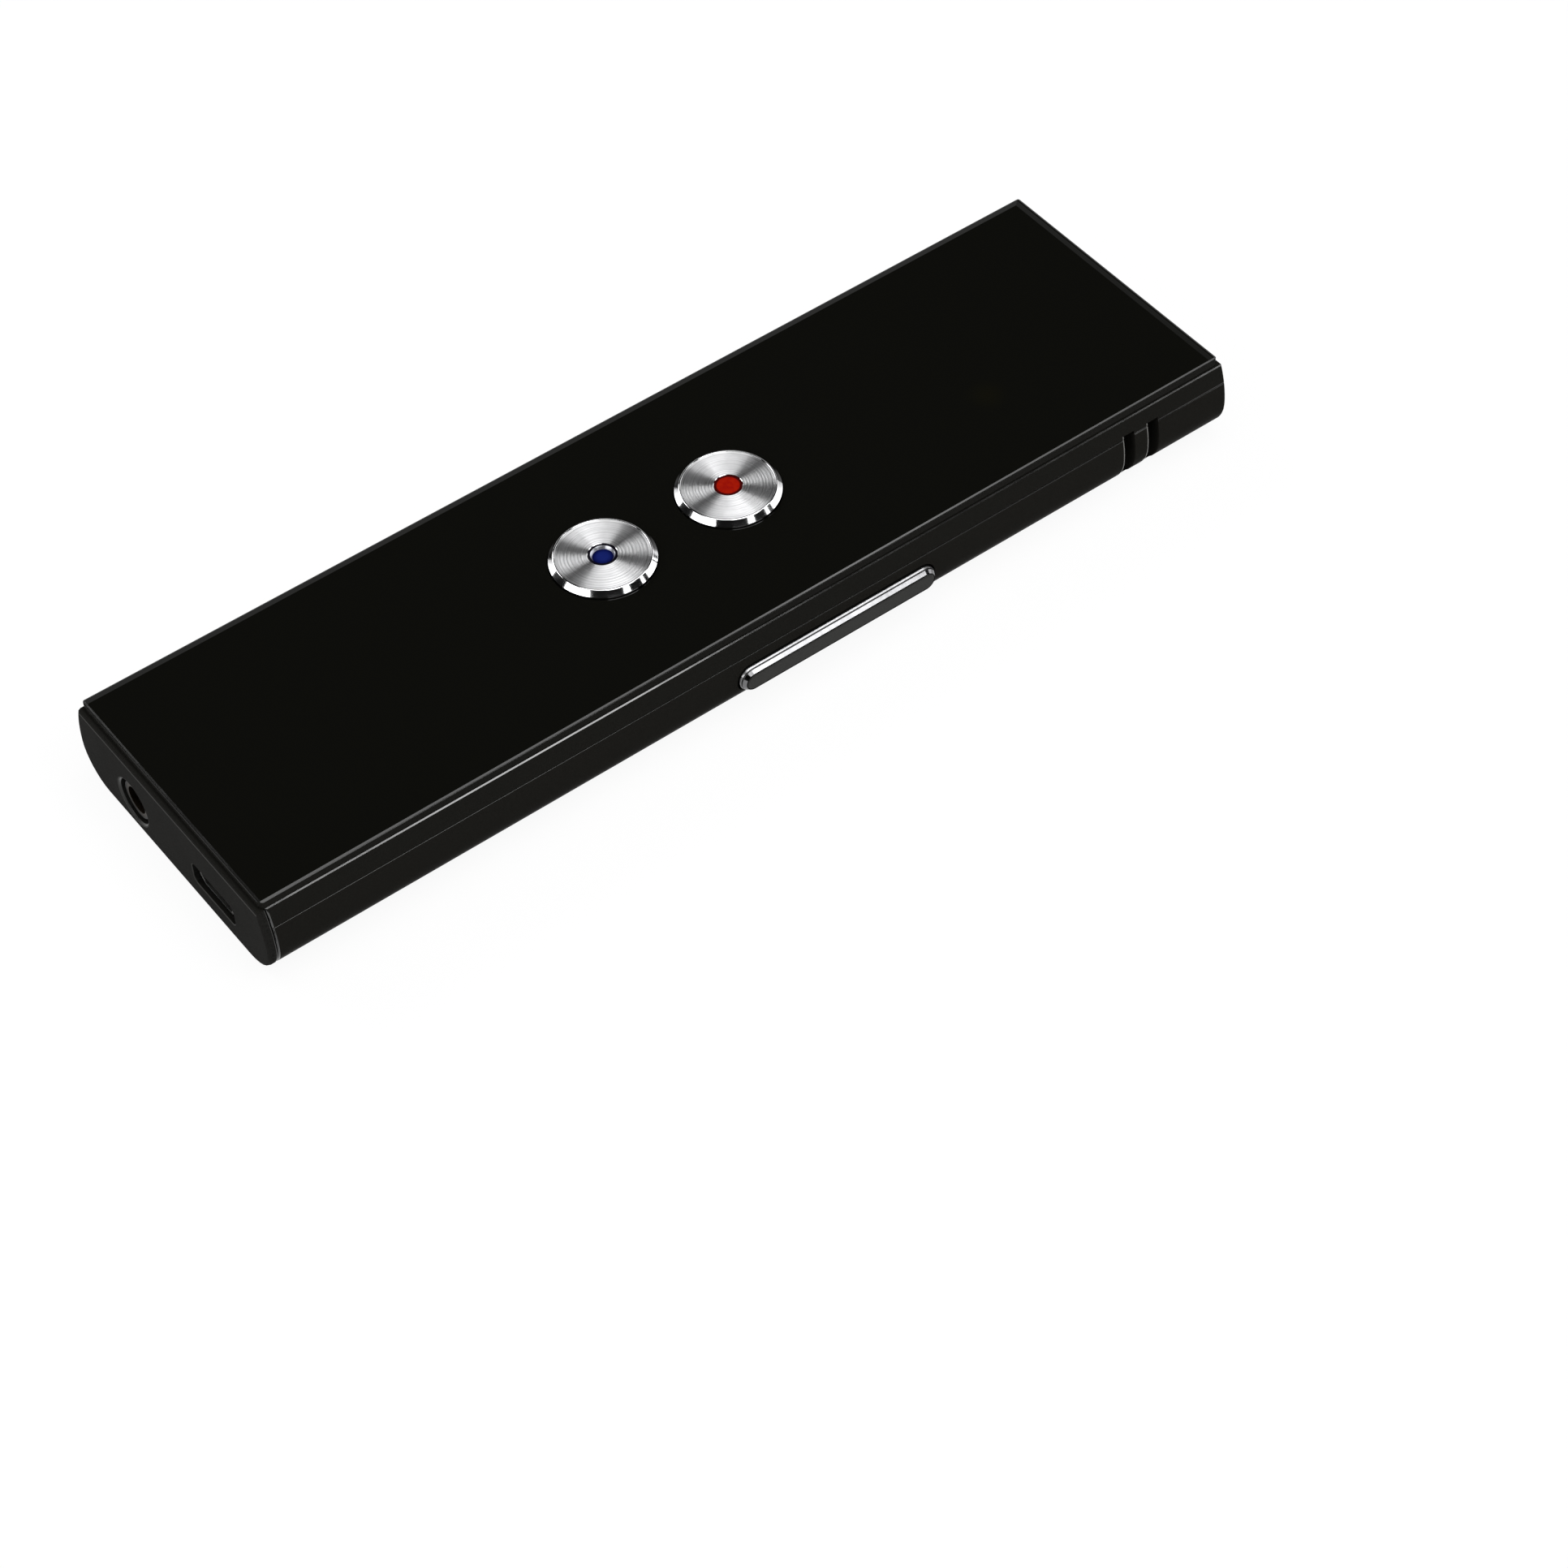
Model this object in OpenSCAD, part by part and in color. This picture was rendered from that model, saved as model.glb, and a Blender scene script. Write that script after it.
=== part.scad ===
// Handheld voice translator: a slim bar with a gloss top panel, two round
// push buttons, a rocking side key, two ports in the end cap and a lanyard eye.
// X is the width, Y the length (ports at -Y), Z up from the flat back. Millimetres.

/* [Body] */
// Overall length, from the port end to the far end
body_l = 140; // [125:1:160]
// Overall width at the widest line of the sides
body_w = 41.1; // [37:0.1:48]
// Height from the back to the top of the panel
body_t = 12.3; // [11.8:0.1:14]
// Wall thickness of both casing halves
wall = 1.4; // [1:0.1:1.8]
// Radius of the two long lower corners
lower_r = 5.2; // [4.4:0.1:6]
// How far the sides lean in between the widest line and the panel, on each side
rim_inset = 1.2; // [0.6:0.1:1.8]
// Height of the parting line between the casing halves
seam_z = 8.45; // [7.6:0.05:9.2]
// Open width of every parting line
parting_gap = 0.1; // [0.05:0.05:0.2]
// Depth of the rounded edge round the end cap
end_round = 0.45; // [0.2:0.05:0.8]
// Depth of the rounded edge round the far end
far_round = 0.1; // [0.05:0.05:0.8]

/* [Top panel] */
// Thickness of the gloss panel
panel_t = 1.1; // [0.7:0.1:1.5]
// Ledge of the frame left bare beside the panel
side_ledge = 0.1; // [0.05:0.05:0.6]
// Ledge of the end cap left bare before the panel
end_ledge = 0.66; // [0.4:0.02:1.5]
// Ledge of the frame left bare behind the panel
far_ledge = 0.5; // [0.4:0.02:1.5]
// Width of the two-step bevel along the panel's upper edges
panel_bevel = 0.3; // [0.05:0.05:0.8]
// Height of that bevel
panel_bevel_h = 0.15; // [0.05:0.05:0.5]
// Radius of the panel's corners
panel_corner_r = 0.6; // [0.3:0.1:4]
// Thickness of the adhesive tape under the panel
tape_t = 0.15; // [0.1:0.05:0.3]
// Thickness of the deck that carries the panel
deck_t = 1.3; // [0.9:0.1:1.6]

/* [Round buttons] */
// Place of the blue button along the body
blue_y = -9.5; // [-16:0.1:-8.7]
// Place of the red button along the body
red_y = 8.9; // [8.7:0.1:16]
// Radius of the spun face
face_r = 5.95; // [4.5:0.05:6.8]
// Height of the spun face above the panel
cap_proud = 0.93; // [0.4:0.01:1.6]
// Width of the polished bevel round the face
cap_bevel_w = 0.55; // [0.2:0.05:1]
// Height of the polished bevel round the face
cap_bevel_h = 0.76; // [0.2:0.02:0.8]
// Gap between a cap and the edge of its hole
cap_gap = 0.15; // [0.1:0.05:0.3]
// Radius of the red insert
red_insert_r = 1.75; // [1:0.05:2.5]
// Radius of the blue lens
blue_lens_r = 1.8; // [1:0.05:2.5]
// Travel of each button
button_travel = 0.3; // [0.15:0.05:0.4]

/* [Side key] */
// Length of the rocking key
key_l = 29; // [20:0.1:34]
// Height of the rocking key
key_h = 3.45; // [2.8:0.05:4.2]
// Place of the key's middle along the body
key_y = 9.35; // [2:0.05:13]
// Height of the key's middle above the back
key_z = 5.2; // [4.9:0.05:5.4]
// How far the key stands out past the widest line
key_proud = 0.95; // [0.4:0.05:2]
// Bevel round the key's face
key_bevel = 0.5; // [0.2:0.05:0.8]
// Gap round the key in its window
key_gap = 0.2; // [0.12:0.02:0.4]
// Largest tilt of the key to either side, in degrees
key_tilt = 1.2; // [0.5:0.1:1.5]

/* [Ports] */
// Visible thickness of the end cap
cap_t = 1.05; // [0.8:0.05:2]
// Height of both port centres above the back
port_z = 4.33; // [4:0.01:4.6]
// Place of the headphone socket across the body
jack_x = -8.9; // [-12:0.1:-6]
// Radius of the headphone socket's bore
jack_bore_r = 1.8; // [1.76:0.01:1.85]
// Radius of the hole in the end cap round the headphone socket
jack_hole_r = 3; // [2.6:0.05:3.6]
// Place of the charging socket across the body
usb_x = 8.6; // [6:0.1:11]
// Width of the end cap's opening for the charging plug
usb_slot_w = 8.9; // [8:0.1:11]
// Height of the end cap's opening for the charging plug
usb_slot_h = 3.3; // [2.8:0.1:5]

/* [Lanyard eye] */
// Distance from the far end to the middle of the eye's bar
eye_inset = 13.4; // [10:0.1:18]
// Width of the bar between the two slots
eye_bar_w = 2.3; // [1.4:0.1:4]
// Width of each slot
eye_slot_w = 1.5; // [1:0.1:2.4]
// Height of the upper end of the slots above the back
eye_top_z = 9; // [8.6:0.05:9.6]
// Thickness of the bar behind the casing's side
eye_bar_t = 1.9; // [1.4:0.1:2.6]

/* [Electronics] */
// Thickness of the circuit board
board_t = 1; // [0.6:0.1:1.2]
// Length of the battery cell
cell_l = 48; // [38:1:54]
// Thickness of the battery cell
cell_t = 3.5; // [2.4:0.1:3.9]
// Place of the battery's middle along the body
cell_y = -1; // [-5:0.5:3]
// Radius of the loudspeaker
speaker_r = 9; // [7:0.5:9.5]
// Height of the loudspeaker
speaker_t = 4; // [3:0.1:5.5]
// Number of loudspeaker slots in the back
grille_slots = 7; // [3:2:9]
// Width of each loudspeaker slot
grille_slot_w = 0.9; // [0.5:0.1:1.2]

/* [Hidden] */
$fn = 64;
HULL_FN = 32;
EPS = 0.01; // overlap of shapes that are joined
CUT = 1; // how far a cutting shape runs past what it cuts

// Levels of the casing, from the panel down
rim_z = body_t - panel_t;
frame_top_z = rim_z - tape_t;
deck_z = frame_top_z - deck_t;

// Side curve: an arc that leaves the lower corner upright and leans in by rim_inset
side_rise = rim_z - lower_r;
side_r = (side_rise * side_rise + rim_inset * rim_inset) / (2 * rim_inset);
corner_x = body_w / 2 - lower_r;

// Ends of the casing halves, and the panel between its ledges
near_y = -body_l / 2;
far_y = body_l / 2;
case_near_y = near_y + cap_t + parting_gap;
inner_far_y = far_y - wall;
panel_w = body_w - 2 * rim_inset - 2 * side_ledge;
panel_l = body_l - end_ledge - far_ledge;
panel_mid_y = (end_ledge - far_ledge) / 2;
panel_lip = [0.3 * panel_bevel, 0.57 * panel_bevel_h];
tape_inset = 0.6;
tape_ring = 0.8;

// Tongue of the frame inside the rear shell, and spigot of the end cap inside both
fit_gap = 0.1;
tongue_t = 0.7;
tongue_h = 1;
spigot_t = 0.9;
spigot_l = 2.4;
tongue_clear = 0.3;
tongue_near_y = case_near_y + spigot_l + tongue_clear;

// Charging socket under the board, and the board's level that follows from it
usb_shell = [7.5, 5.4, 2.45];
usb_sheet_t = 0.25;
usb_set_back = 0.55;
usb_tongue = [3.7, 3.6, 0.6];
usb_slot_r = 0.9;
board_z = port_z + usb_shell[2] / 2;
board_top_z = board_z + board_t;

// Round buttons: a hollow cap on a carrier whose flange stops under the deck
cap_r = face_r + cap_bevel_w;
cap_top_z = body_t + cap_proud;
cap_wall = 0.8;
cap_roof = 1;
face_lip_w = 0.18;
face_lip_h = 0.05;
insert_sink = 0.04;
lens_rim_w = 0.3;
lens_wall_w = 0.2;
lens_dish = 0.38;
insert_l = 1.5;
flange_gap = 0.05;
flange_t = 0.6;
flange_r = cap_r + 0.9;
flange_top_z = deck_z - flange_gap;
flange_z = flange_top_z - flange_t;
carrier_core_h = 1.8;
carrier_pin_r = 1.2;
guide_gap = 0.3;
guide_t = 0.8;
tab_w = 1.6;
tab_l = 0.8;

// Switches under the round buttons
switch_w = 4.6;
switch_h = 1.4;
stem_r = 0.9;
stem_fit = 0.05;
stem_proud = 0.45;
stem_in = 0.5;
well_spare = 0.15;
switch_foot = [6.2, 0.7, 0.25];
switch_foot_y = 1.6;
stem_top_z = board_top_z + switch_h + stem_proud;

// Side key: the plate behind it stays clear of the curved wall at full tilt
plate_h = 3.2;
plate_over = 1.2;
plate_t = 1;
pad_t = 0.5;
pad_inset = 0.5;
plate_half_l = key_l / 2 + plate_over;
plate_rest_gap = plate_half_l * sin(key_tilt) + fit_gap;
plate_face_x = inner_x(key_z - plate_h / 2) - plate_rest_gap;
plate_back_x = plate_face_x - plate_t;
key_face_x = body_w / 2 + key_proud;
key_back_x = plate_face_x + pad_t;
key_hub_r = 1.3;
key_hub_h = 4.6;
key_hub_join = 0.3;
key_hub_x = plate_back_x - key_hub_r + key_hub_join;
key_pin_r = 0.6;
key_pin_fit = 0.04;
key_pin_end = 1.2;
key_boss_r = 1.4;
nub_inset = 3.5;
nub_reach = key_l / 2 - nub_inset;
nub_r = 1;
nub_l = 1;

// Side switches, their stems drawn at the end of their stroke
side_switch = [3, 4.5, 1.7];
side_stem_l = 0.4;
side_stem_r = 0.5;
side_stem_tip_x = plate_back_x - nub_l - nub_reach * sin(key_tilt) - fit_gap;
side_switch_x = side_stem_tip_x - side_stem_l - side_switch[0];

// Lanyard eye: two slots into one pocket behind the bar
eye_y = far_y - eye_inset;
eye_span = eye_bar_w + 2 * eye_slot_w;
eye_bar_x = body_w / 2 - eye_bar_t;
eye_pocket_d = 2.3;
eye_wall = 0.9;
eye_low_z = 1.3;
eye_plug_h = 0.7;

// Loudspeaker and its stack on the floor of the shell
spk_inset = 13;
spk_y = far_y - spk_inset;
spk_ring_t = 0.9;
spk_fit = 0.15;
mesh_t = 0.12;
gasket_t = 0.5;
gasket_w = 1.4;
spk_z = wall + mesh_t + gasket_t;
spk_flange_h = 2.2;
magnet_r = speaker_r - 2.6;
grille_r = speaker_r - 2.4;
grille_pitch = 2 * grille_r / grille_slots;
clamp_r = 1.1;
spk_lead_x = 1.2;
spk_lead_gap = 1;

// Battery, between the curved wall and the side switches
cell_tape_t = 0.2;
cell_z = wall + cell_tape_t;
cell_gap = 0.3;
cell_side_inset = 1.1;
cell_left_x = cell_side_inset - inner_x(cell_z);
cell_w = side_switch_x - cell_gap - cell_left_x;
cell_x = cell_left_x + cell_w / 2;
cell_edge_r = 1;
cell_stop = [8, 0.8, 2];
cell_lead_inset = 3;
cell_lead_pitch = 1.2;
cell_lead_run = 1.6;
lead_r = 0.35;

// Case screws, from the deck into bosses of the rear shell
screw_corner_inset = 0.15;
screw_x = corner_x - screw_corner_inset;
screw_near_inset = 18;
screw_post_gap = 8;
screw_far_inset = 5.6;
screw_r = 0.8;
screw_head_r = 1.45;
screw_head_h = 0.75;
screw_sink = 0.9;
screw_l = 5.4;
screw_fit = 0.02;
screw_clear = 0.15;
pilot_spare = 0.3;
screw_seat_z = frame_top_z - screw_sink;
boss_r = 1.9;
boss_drop = 0.25;
boss_top_z = seam_z - boss_drop;
boss_rib_t = 0.9;

// Leads end this far inside the board's edge
solder_inset = 2.5;

// Board, its outline and the screws that hold it at both ends of the battery
board_side_gap = 1.75;
board_end_gap = 1.1;
board_spk_gap = 0.4;
board_w = 2 * (inner_x(lower_r) - board_side_gap);
board_near_y = near_y + cap_t + board_end_gap;
board_far_y = spk_y - speaker_r - spk_ring_t - spk_fit - board_spk_gap;
board_clear = 0.35;
board_key_x = key_hub_x - key_hub_r - board_clear;
post_r = 1.7;
post_screw_gap = 2.2;
post_x = screw_x - post_screw_gap;
post_cell_gap = 5;
post_switch_gap = 0.5;
post_clear_y = key_y + nub_reach + side_switch[1] / 2 + post_switch_gap + post_r;
post_ys = [cell_y - cell_l / 2 - post_cell_gap, max(cell_y + cell_l / 2 + post_cell_gap, post_clear_y)];
screw_ys = [near_y + screw_near_inset, post_ys[1] + screw_post_gap, far_y - screw_far_inset];
board_screw_r = 0.6;
board_screw_head_r = 1.3;
board_screw_head_h = 0.6;
board_screw_l = 3;

// Shield can over the processor, and the other chips, set in from the board's ends
can = [18, 15, 1.7];
can_inset = 32;
can_y = board_near_y + can_inset;
can_sheet_t = 0.2;
can_corner_r = 0.8;
processor = [9, 9, 0.9];
charger_chip = [3, 3, 0.8];
charger_inset = 12;
memory_chip = [8, 6, 0.9];
memory_inset = 18;
radio_module = [9, 10, 1.2];
radio_inset = 12;
radio_x = -6;
aerial = [7, 2, 1];
aerial_inset = 3;
aerial_x = -9;

// Headphone socket
jack_body = [6, 11.5, 5];
jack_cap_gap = 0.6;
jack_front_y = near_y + cap_t + jack_cap_gap;
jack_barrel_r = 2.5;
jack_set_back = 0.5;
jack_bore_l = 11;
bush_wall = 0.4;
bush_l = 1.6;
port_bevel = 0.25;

// Microphone in the far wall
mic_x = (speaker_r + spk_fit + spk_ring_t + screw_x - boss_r) / 2;
mic_r = 2;
mic_t = 1.4;
mic_hole_r = 0.5;
boot_t = 0.5;
boot_front_y = inner_far_y - fit_gap;
mic_lead_pitch = 0.8;
mic_mid_z = (wall + seam_z - tongue_h) / 2;
mic_z = min(mic_mid_z, board_z - mic_lead_pitch / 2 - lead_r - fit_gap);

// Status light under a clear guide in the deck
light_x = 6.6;
light_inset = 3.3;
light_y = board_far_y - light_inset;
light = [1.6, 0.8, 0.6];
guide_r = 1;
guide_fit = 0.05;
guide_foot_r = 1.5;
guide_foot_h = 0.5;

// Inner face of the side wall at a height below the widest line
function inner_x(z) = corner_x + sqrt(pow(lower_r - wall, 2) - pow(lower_r - min(z, lower_r), 2));

// ------------------------------------------------------------ shared shapes

// Cross-section of the body, shrunk by inset, between two levels (x across, y up)
module body_section(inset, z_low, z_high) {
    intersection() {
        for (side = [0, 1])
            mirror([side, 0]) {
                intersection() {
                    translate([body_w / 2 - side_r, lower_r]) circle(r = side_r - inset, $fn = 4 * $fn);
                    translate([0, lower_r]) square([body_w, body_t]);
                }
                intersection() {
                    translate([corner_x, lower_r]) circle(r = lower_r - inset);
                    translate([corner_x, 0]) square(lower_r);
                }
                translate([0, inset]) square([corner_x, lower_r - inset]);
                translate([0, lower_r]) square([max(body_w / 2 - side_r, EPS), body_t]);
            }
        translate([-body_w, z_low]) square([2 * body_w, z_high - z_low]);
    }
}

// The section as a bar between two places along the body
module body_bar(inset, y_low, y_high, z_low, z_high) {
    translate([0, y_high, 0]) rotate([90, 0, 0])
        linear_extrude(y_high - y_low) body_section(inset, z_low, z_high);
}

// The rounded edge of the bar before an end face at y = 0
module round_end(z_low, z_high, depth) {
    steps = [[depth, 0], [0.3 * depth, 0.25 * depth], [EPS, depth]];
    intersection() {
        hull()
            for (s = steps)
                translate([0, EPS - s[0], 0]) rotate([90, 0, 0])
                    linear_extrude(EPS) body_section(s[1], 0, frame_top_z - s[1], $fn = HULL_FN);
        translate([-body_w, -depth, z_low]) cube([2 * body_w, body_l, z_high - z_low]);
    }
}

// A casing half: the bar behind the end cap with its far end rounded over
module casing_outside(z_low, z_high) {
    body_bar(0, case_near_y, far_y - far_round, z_low, z_high);
    translate([0, far_y, 0]) round_end(z_low, z_high, far_round);
}

// Rectangle with round corners, centred
module round_rect(size, r) {
    square([size[0] - 2 * r, size[1]], center = true);
    square([size[0], size[1] - 2 * r], center = true);
    for (sx = [-1, 1], sy = [-1, 1])
        translate([sx * (size[0] / 2 - r), sy * (size[1] / 2 - r)]) circle(r = r);
}

// Bar with half-round ends along Y that points to +X, with an optional bevel on its face
module pill_x(length, height, x_low, x_high, bevel = 0) {
    depth = x_high - x_low;
    half_h = height / 2;
    straight = length - height;
    outline = [
        [0, -half_h], [depth - bevel, -half_h], [depth, bevel - half_h],
        [depth, half_h - bevel], [depth - bevel, half_h], [0, half_h]
    ];
    translate([x_low, 0, 0]) {
        for (side = [-1, 1])
            translate([0, side * straight / 2, 0]) rotate([0, 90, 0]) {
                cylinder(h = depth - bevel, r = half_h);
                if (bevel > 0)
                    translate([0, 0, depth - bevel]) cylinder(h = bevel, r1 = half_h, r2 = half_h - bevel);
            }
        rotate([90, 0, 0]) linear_extrude(straight, center = true) polygon(outline);
    }
}

// Round rod between two points
module rod(a, b, r) {
    d = b - a;
    translate(a) rotate([0, acos(d[2] / norm(d)), atan2(d[1], d[0])]) cylinder(h = norm(d), r = r, $fn = 24);
}

// Insulated lead along a list of points, with round elbows
module lead(points) {
    for (i = [0 : len(points) - 2]) rod(points[i], points[i + 1], lead_r);
    for (i = [1 : len(points) - 2]) translate(points[i]) sphere(r = lead_r + 0.02, $fn = 24);
}

// Tube standing on z
module tube(outer_r, inner_r, h) {
    difference() {
        cylinder(h = h, r = outer_r);
        translate([0, 0, -EPS]) cylinder(h = h + 2 * EPS, r = inner_r);
    }
}

// Small screw with its seat at z = 0, its head above and a cross recess in the head
module screw(shank_r, length, head_r, head_h) {
    difference() {
        union() {
            translate([0, 0, -length]) cylinder(h = length + EPS, r = shank_r);
            cylinder(h = head_h, r = head_r);
        }
        for (turn = [0, 90])
            rotate(turn) translate([-0.7 * head_r, -0.14 * head_r, 0.5 * head_h])
                cube([1.4 * head_r, 0.28 * head_r, head_h]);
    }
}

// Places that repeat
module at_case_screws(ys = screw_ys) {
    for (side = [-1, 1], y = ys) translate([side * screw_x, y, 0]) children();
}

module at_board_screws() {
    for (side = [-1, 1], y = post_ys) translate([side * post_x, y, 0]) children();
}

module at_buttons() {
    for (y = [red_y, blue_y]) translate([0, y, 0]) children();
}

module at_eye_slots() {
    for (side = [-1, 1]) translate([0, eye_y + side * (eye_bar_w + eye_slot_w) / 2, 0]) children();
}

module at_speaker() {
    translate([0, spk_y, 0]) children();
}

// ---------------------------------------------------------------- casing

// Bosses, posts and walls that stand on the floor of the rear shell
module shell_furniture() {
    base_z = wall / 2;
    at_case_screws() {
        translate([0, 0, base_z]) cylinder(h = boss_top_z - base_z, r = boss_r);
    }
    for (side = [-1, 1], y = screw_ys)
        translate([side > 0 ? screw_x : -body_w / 2, y - boss_rib_t / 2, base_z])
            cube([body_w / 2 - screw_x, boss_rib_t, board_z - base_z]);
    at_board_screws() translate([0, 0, base_z]) cylinder(h = board_z - base_z, r = post_r);
    at_speaker() translate([0, 0, base_z])
        tube(speaker_r + spk_fit + spk_ring_t, speaker_r + spk_fit, spk_z + spk_flange_h - base_z);
    for (side = [-1, 1]) {
        stop_y = cell_y + side * (cell_l / 2 + cell_stop[1]);
        translate([cell_x - cell_stop[0] / 2, stop_y - cell_stop[1] / 2, base_z]) cube(cell_stop);
    }
    translate([key_hub_x, key_y, base_z])
        cylinder(h = key_z - key_hub_h / 2 - fit_gap - base_z, r = key_boss_r);
    translate([eye_bar_x - eye_pocket_d - eye_wall, eye_y - eye_span / 2 - eye_wall, base_z])
        cube([body_w / 2, eye_span + 2 * eye_wall, boss_top_z - base_z]);
}

// The slots of the lanyard eye and the pocket behind its bar
module eye_space(z_high) {
    pocket_x = eye_bar_x - eye_pocket_d;
    at_eye_slots()
        translate([pocket_x, -eye_slot_w / 2, eye_low_z])
            cube([body_w, eye_slot_w, eye_top_z - eye_low_z]);
    translate([pocket_x, eye_y - eye_span / 2, wall]) cube([eye_pocket_d, eye_span, z_high - wall]);
}

// Window in the side wall round the key
module key_window() {
    translate([0, key_y, key_z])
        pill_x(key_l + 2 * key_gap, key_h + 2 * key_gap, plate_back_x, body_w);
}

// Rows of slots over the loudspeaker, cut to a circle
module grille() {
    for (i = [0 : grille_slots - 1]) {
        y = (i - (grille_slots - 1) / 2) * grille_pitch;
        half = sqrt(grille_r * grille_r - y * y) - grille_slot_w / 2;
        translate([0, y, -CUT]) {
            translate([-half, -grille_slot_w / 2, 0]) cube([2 * half, grille_slot_w, wall + 2 * CUT]);
            for (side = [-1, 1])
                translate([side * half, 0, 0]) cylinder(h = wall + 2 * CUT, r = grille_slot_w / 2);
        }
    }
}

module rear_shell() {
    color("#141414")
        difference() {
            union() {
                difference() {
                    casing_outside(0, seam_z);
                    body_bar(wall, case_near_y - CUT, inner_far_y, wall, body_t);
                }
                intersection() {
                    shell_furniture();
                    body_bar(wall / 2, case_near_y + spigot_l, far_y - wall / 2, wall / 2, body_t);
                }
            }
            at_case_screws()
                translate([0, 0, screw_seat_z - screw_l - pilot_spare])
                    cylinder(h = body_t, r = screw_r + screw_fit);
            at_board_screws()
                translate([0, 0, board_top_z - board_screw_l - pilot_spare])
                    cylinder(h = body_t, r = board_screw_r + screw_fit);
            key_window();
            translate([key_hub_x, key_y, key_z - key_hub_h / 2 - fit_gap - key_pin_end])
                cylinder(h = key_z, r = key_pin_r + screw_fit);
            eye_space(body_t);
            at_speaker() grille();
            translate([mic_x, inner_far_y - CUT, mic_z]) rotate([-90, 0, 0])
                cylinder(h = wall + 2 * CUT, r = mic_hole_r);
        }
}

// Posts and walls that hang from the deck of the front frame
module frame_furniture() {
    at_case_screws() translate([0, 0, boss_top_z]) cylinder(h = deck_z - boss_top_z + EPS, r = boss_r);
    guide_in_r = flange_r + guide_gap;
    guide_low_z = flange_z - button_travel;
    at_buttons()
        difference() {
            translate([0, 0, guide_low_z]) tube(guide_in_r + guide_t, guide_in_r, deck_z - guide_low_z + EPS);
            translate([-guide_in_r - guide_t - CUT, -tab_w / 2 - guide_gap, 0])
                cube([flange_r, tab_w + 2 * guide_gap, deck_z]);
        }
    at_speaker()
        for (turn = [90, 210, 330])
            rotate(turn) translate([speaker_r - clamp_r, 0, spk_z + spk_flange_h + flange_gap])
                cylinder(h = deck_z - spk_z - spk_flange_h, r = clamp_r);
    translate([key_hub_x, key_y, key_z + key_hub_h / 2 + fit_gap])
        cylinder(h = deck_z - key_z - key_hub_h / 2, r = key_boss_r);
    translate([eye_bar_x - eye_pocket_d + fit_gap, eye_y - eye_span / 2 + fit_gap, seam_z - eye_plug_h])
        cube([eye_pocket_d - 2 * fit_gap, eye_span - 2 * fit_gap, deck_z - seam_z + eye_plug_h + EPS]);
}

module front_frame() {
    tongue_inset = wall + fit_gap;
    tongue_far_y = inner_far_y - fit_gap;
    tongue_low_z = seam_z - tongue_h;
    open_z = seam_z + parting_gap;
    color("#1a1a1a")
        difference() {
            union() {
                difference() {
                    union() {
                        casing_outside(open_z, frame_top_z);
                        body_bar(tongue_inset, tongue_near_y, tongue_far_y, tongue_low_z, deck_z);
                    }
                    body_bar(wall, case_near_y - CUT, tongue_near_y + EPS, 0, deck_z);
                    body_bar(tongue_inset + tongue_t, tongue_near_y, tongue_far_y - tongue_t, 0, deck_z);
                    translate([0, key_y - plate_half_l - tongue_clear, 0])
                        cube([body_w, 2 * (plate_half_l + tongue_clear), open_z]);
                    translate([0, eye_y - eye_span / 2 - eye_wall - fit_gap, 0])
                        cube([body_w, eye_span + 2 * eye_wall + 2 * fit_gap, open_z]);
                }
                frame_furniture();
            }
            at_buttons() translate([0, 0, deck_z - CUT]) cylinder(h = body_t, r = cap_r + cap_gap);
            at_case_screws() {
                cylinder(h = body_t, r = screw_r + screw_clear);
                translate([0, 0, screw_seat_z]) cylinder(h = body_t, r = screw_head_r + screw_clear);
            }
            translate([key_hub_x, key_y, 0])
                cylinder(h = key_z + key_hub_h / 2 + fit_gap + key_pin_end, r = key_pin_r + screw_fit);
            at_eye_slots()
                translate([eye_bar_x, -eye_slot_w / 2, seam_z])
                    cube([body_w, eye_slot_w, eye_top_z - seam_z]);
            translate([light_x, light_y, 0]) cylinder(h = body_t, r = guide_r + guide_fit);
        }
}

module end_cap() {
    spigot_inset = wall + fit_gap;
    spigot_top_z = deck_z - fit_gap;
    flange_in_y = near_y + cap_t;
    color("#242424")
        difference() {
            union() {
                translate([0, near_y, 0]) mirror([0, 1, 0]) round_end(0, frame_top_z, end_round);
                body_bar(0, near_y + end_round, flange_in_y, 0, frame_top_z);
                difference() {
                    body_bar(
                        spigot_inset, flange_in_y - EPS, case_near_y + spigot_l,
                        spigot_inset, spigot_top_z
                    );
                    body_bar(
                        spigot_inset + spigot_t, flange_in_y, body_l,
                        spigot_inset + spigot_t, spigot_top_z - spigot_t
                    );
                    translate([jack_x - jack_body[0] / 2 - fit_gap, flange_in_y, 0])
                        cube([jack_body[0] + 2 * fit_gap, body_l, port_z]);
                }
            }
            translate([jack_x, near_y, port_z]) rotate([-90, 0, 0]) {
                translate([0, 0, -CUT]) cylinder(h = cap_t + 2 * CUT, r = jack_hole_r);
                translate([0, 0, -EPS])
                    cylinder(h = port_bevel, r1 = jack_hole_r + port_bevel, r2 = jack_hole_r);
            }
            translate([usb_x, near_y - CUT, port_z]) rotate([-90, 0, 0])
                linear_extrude(cap_t + 2 * CUT) round_rect([usb_slot_w, usb_slot_h], usb_slot_r);
        }
}

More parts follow.
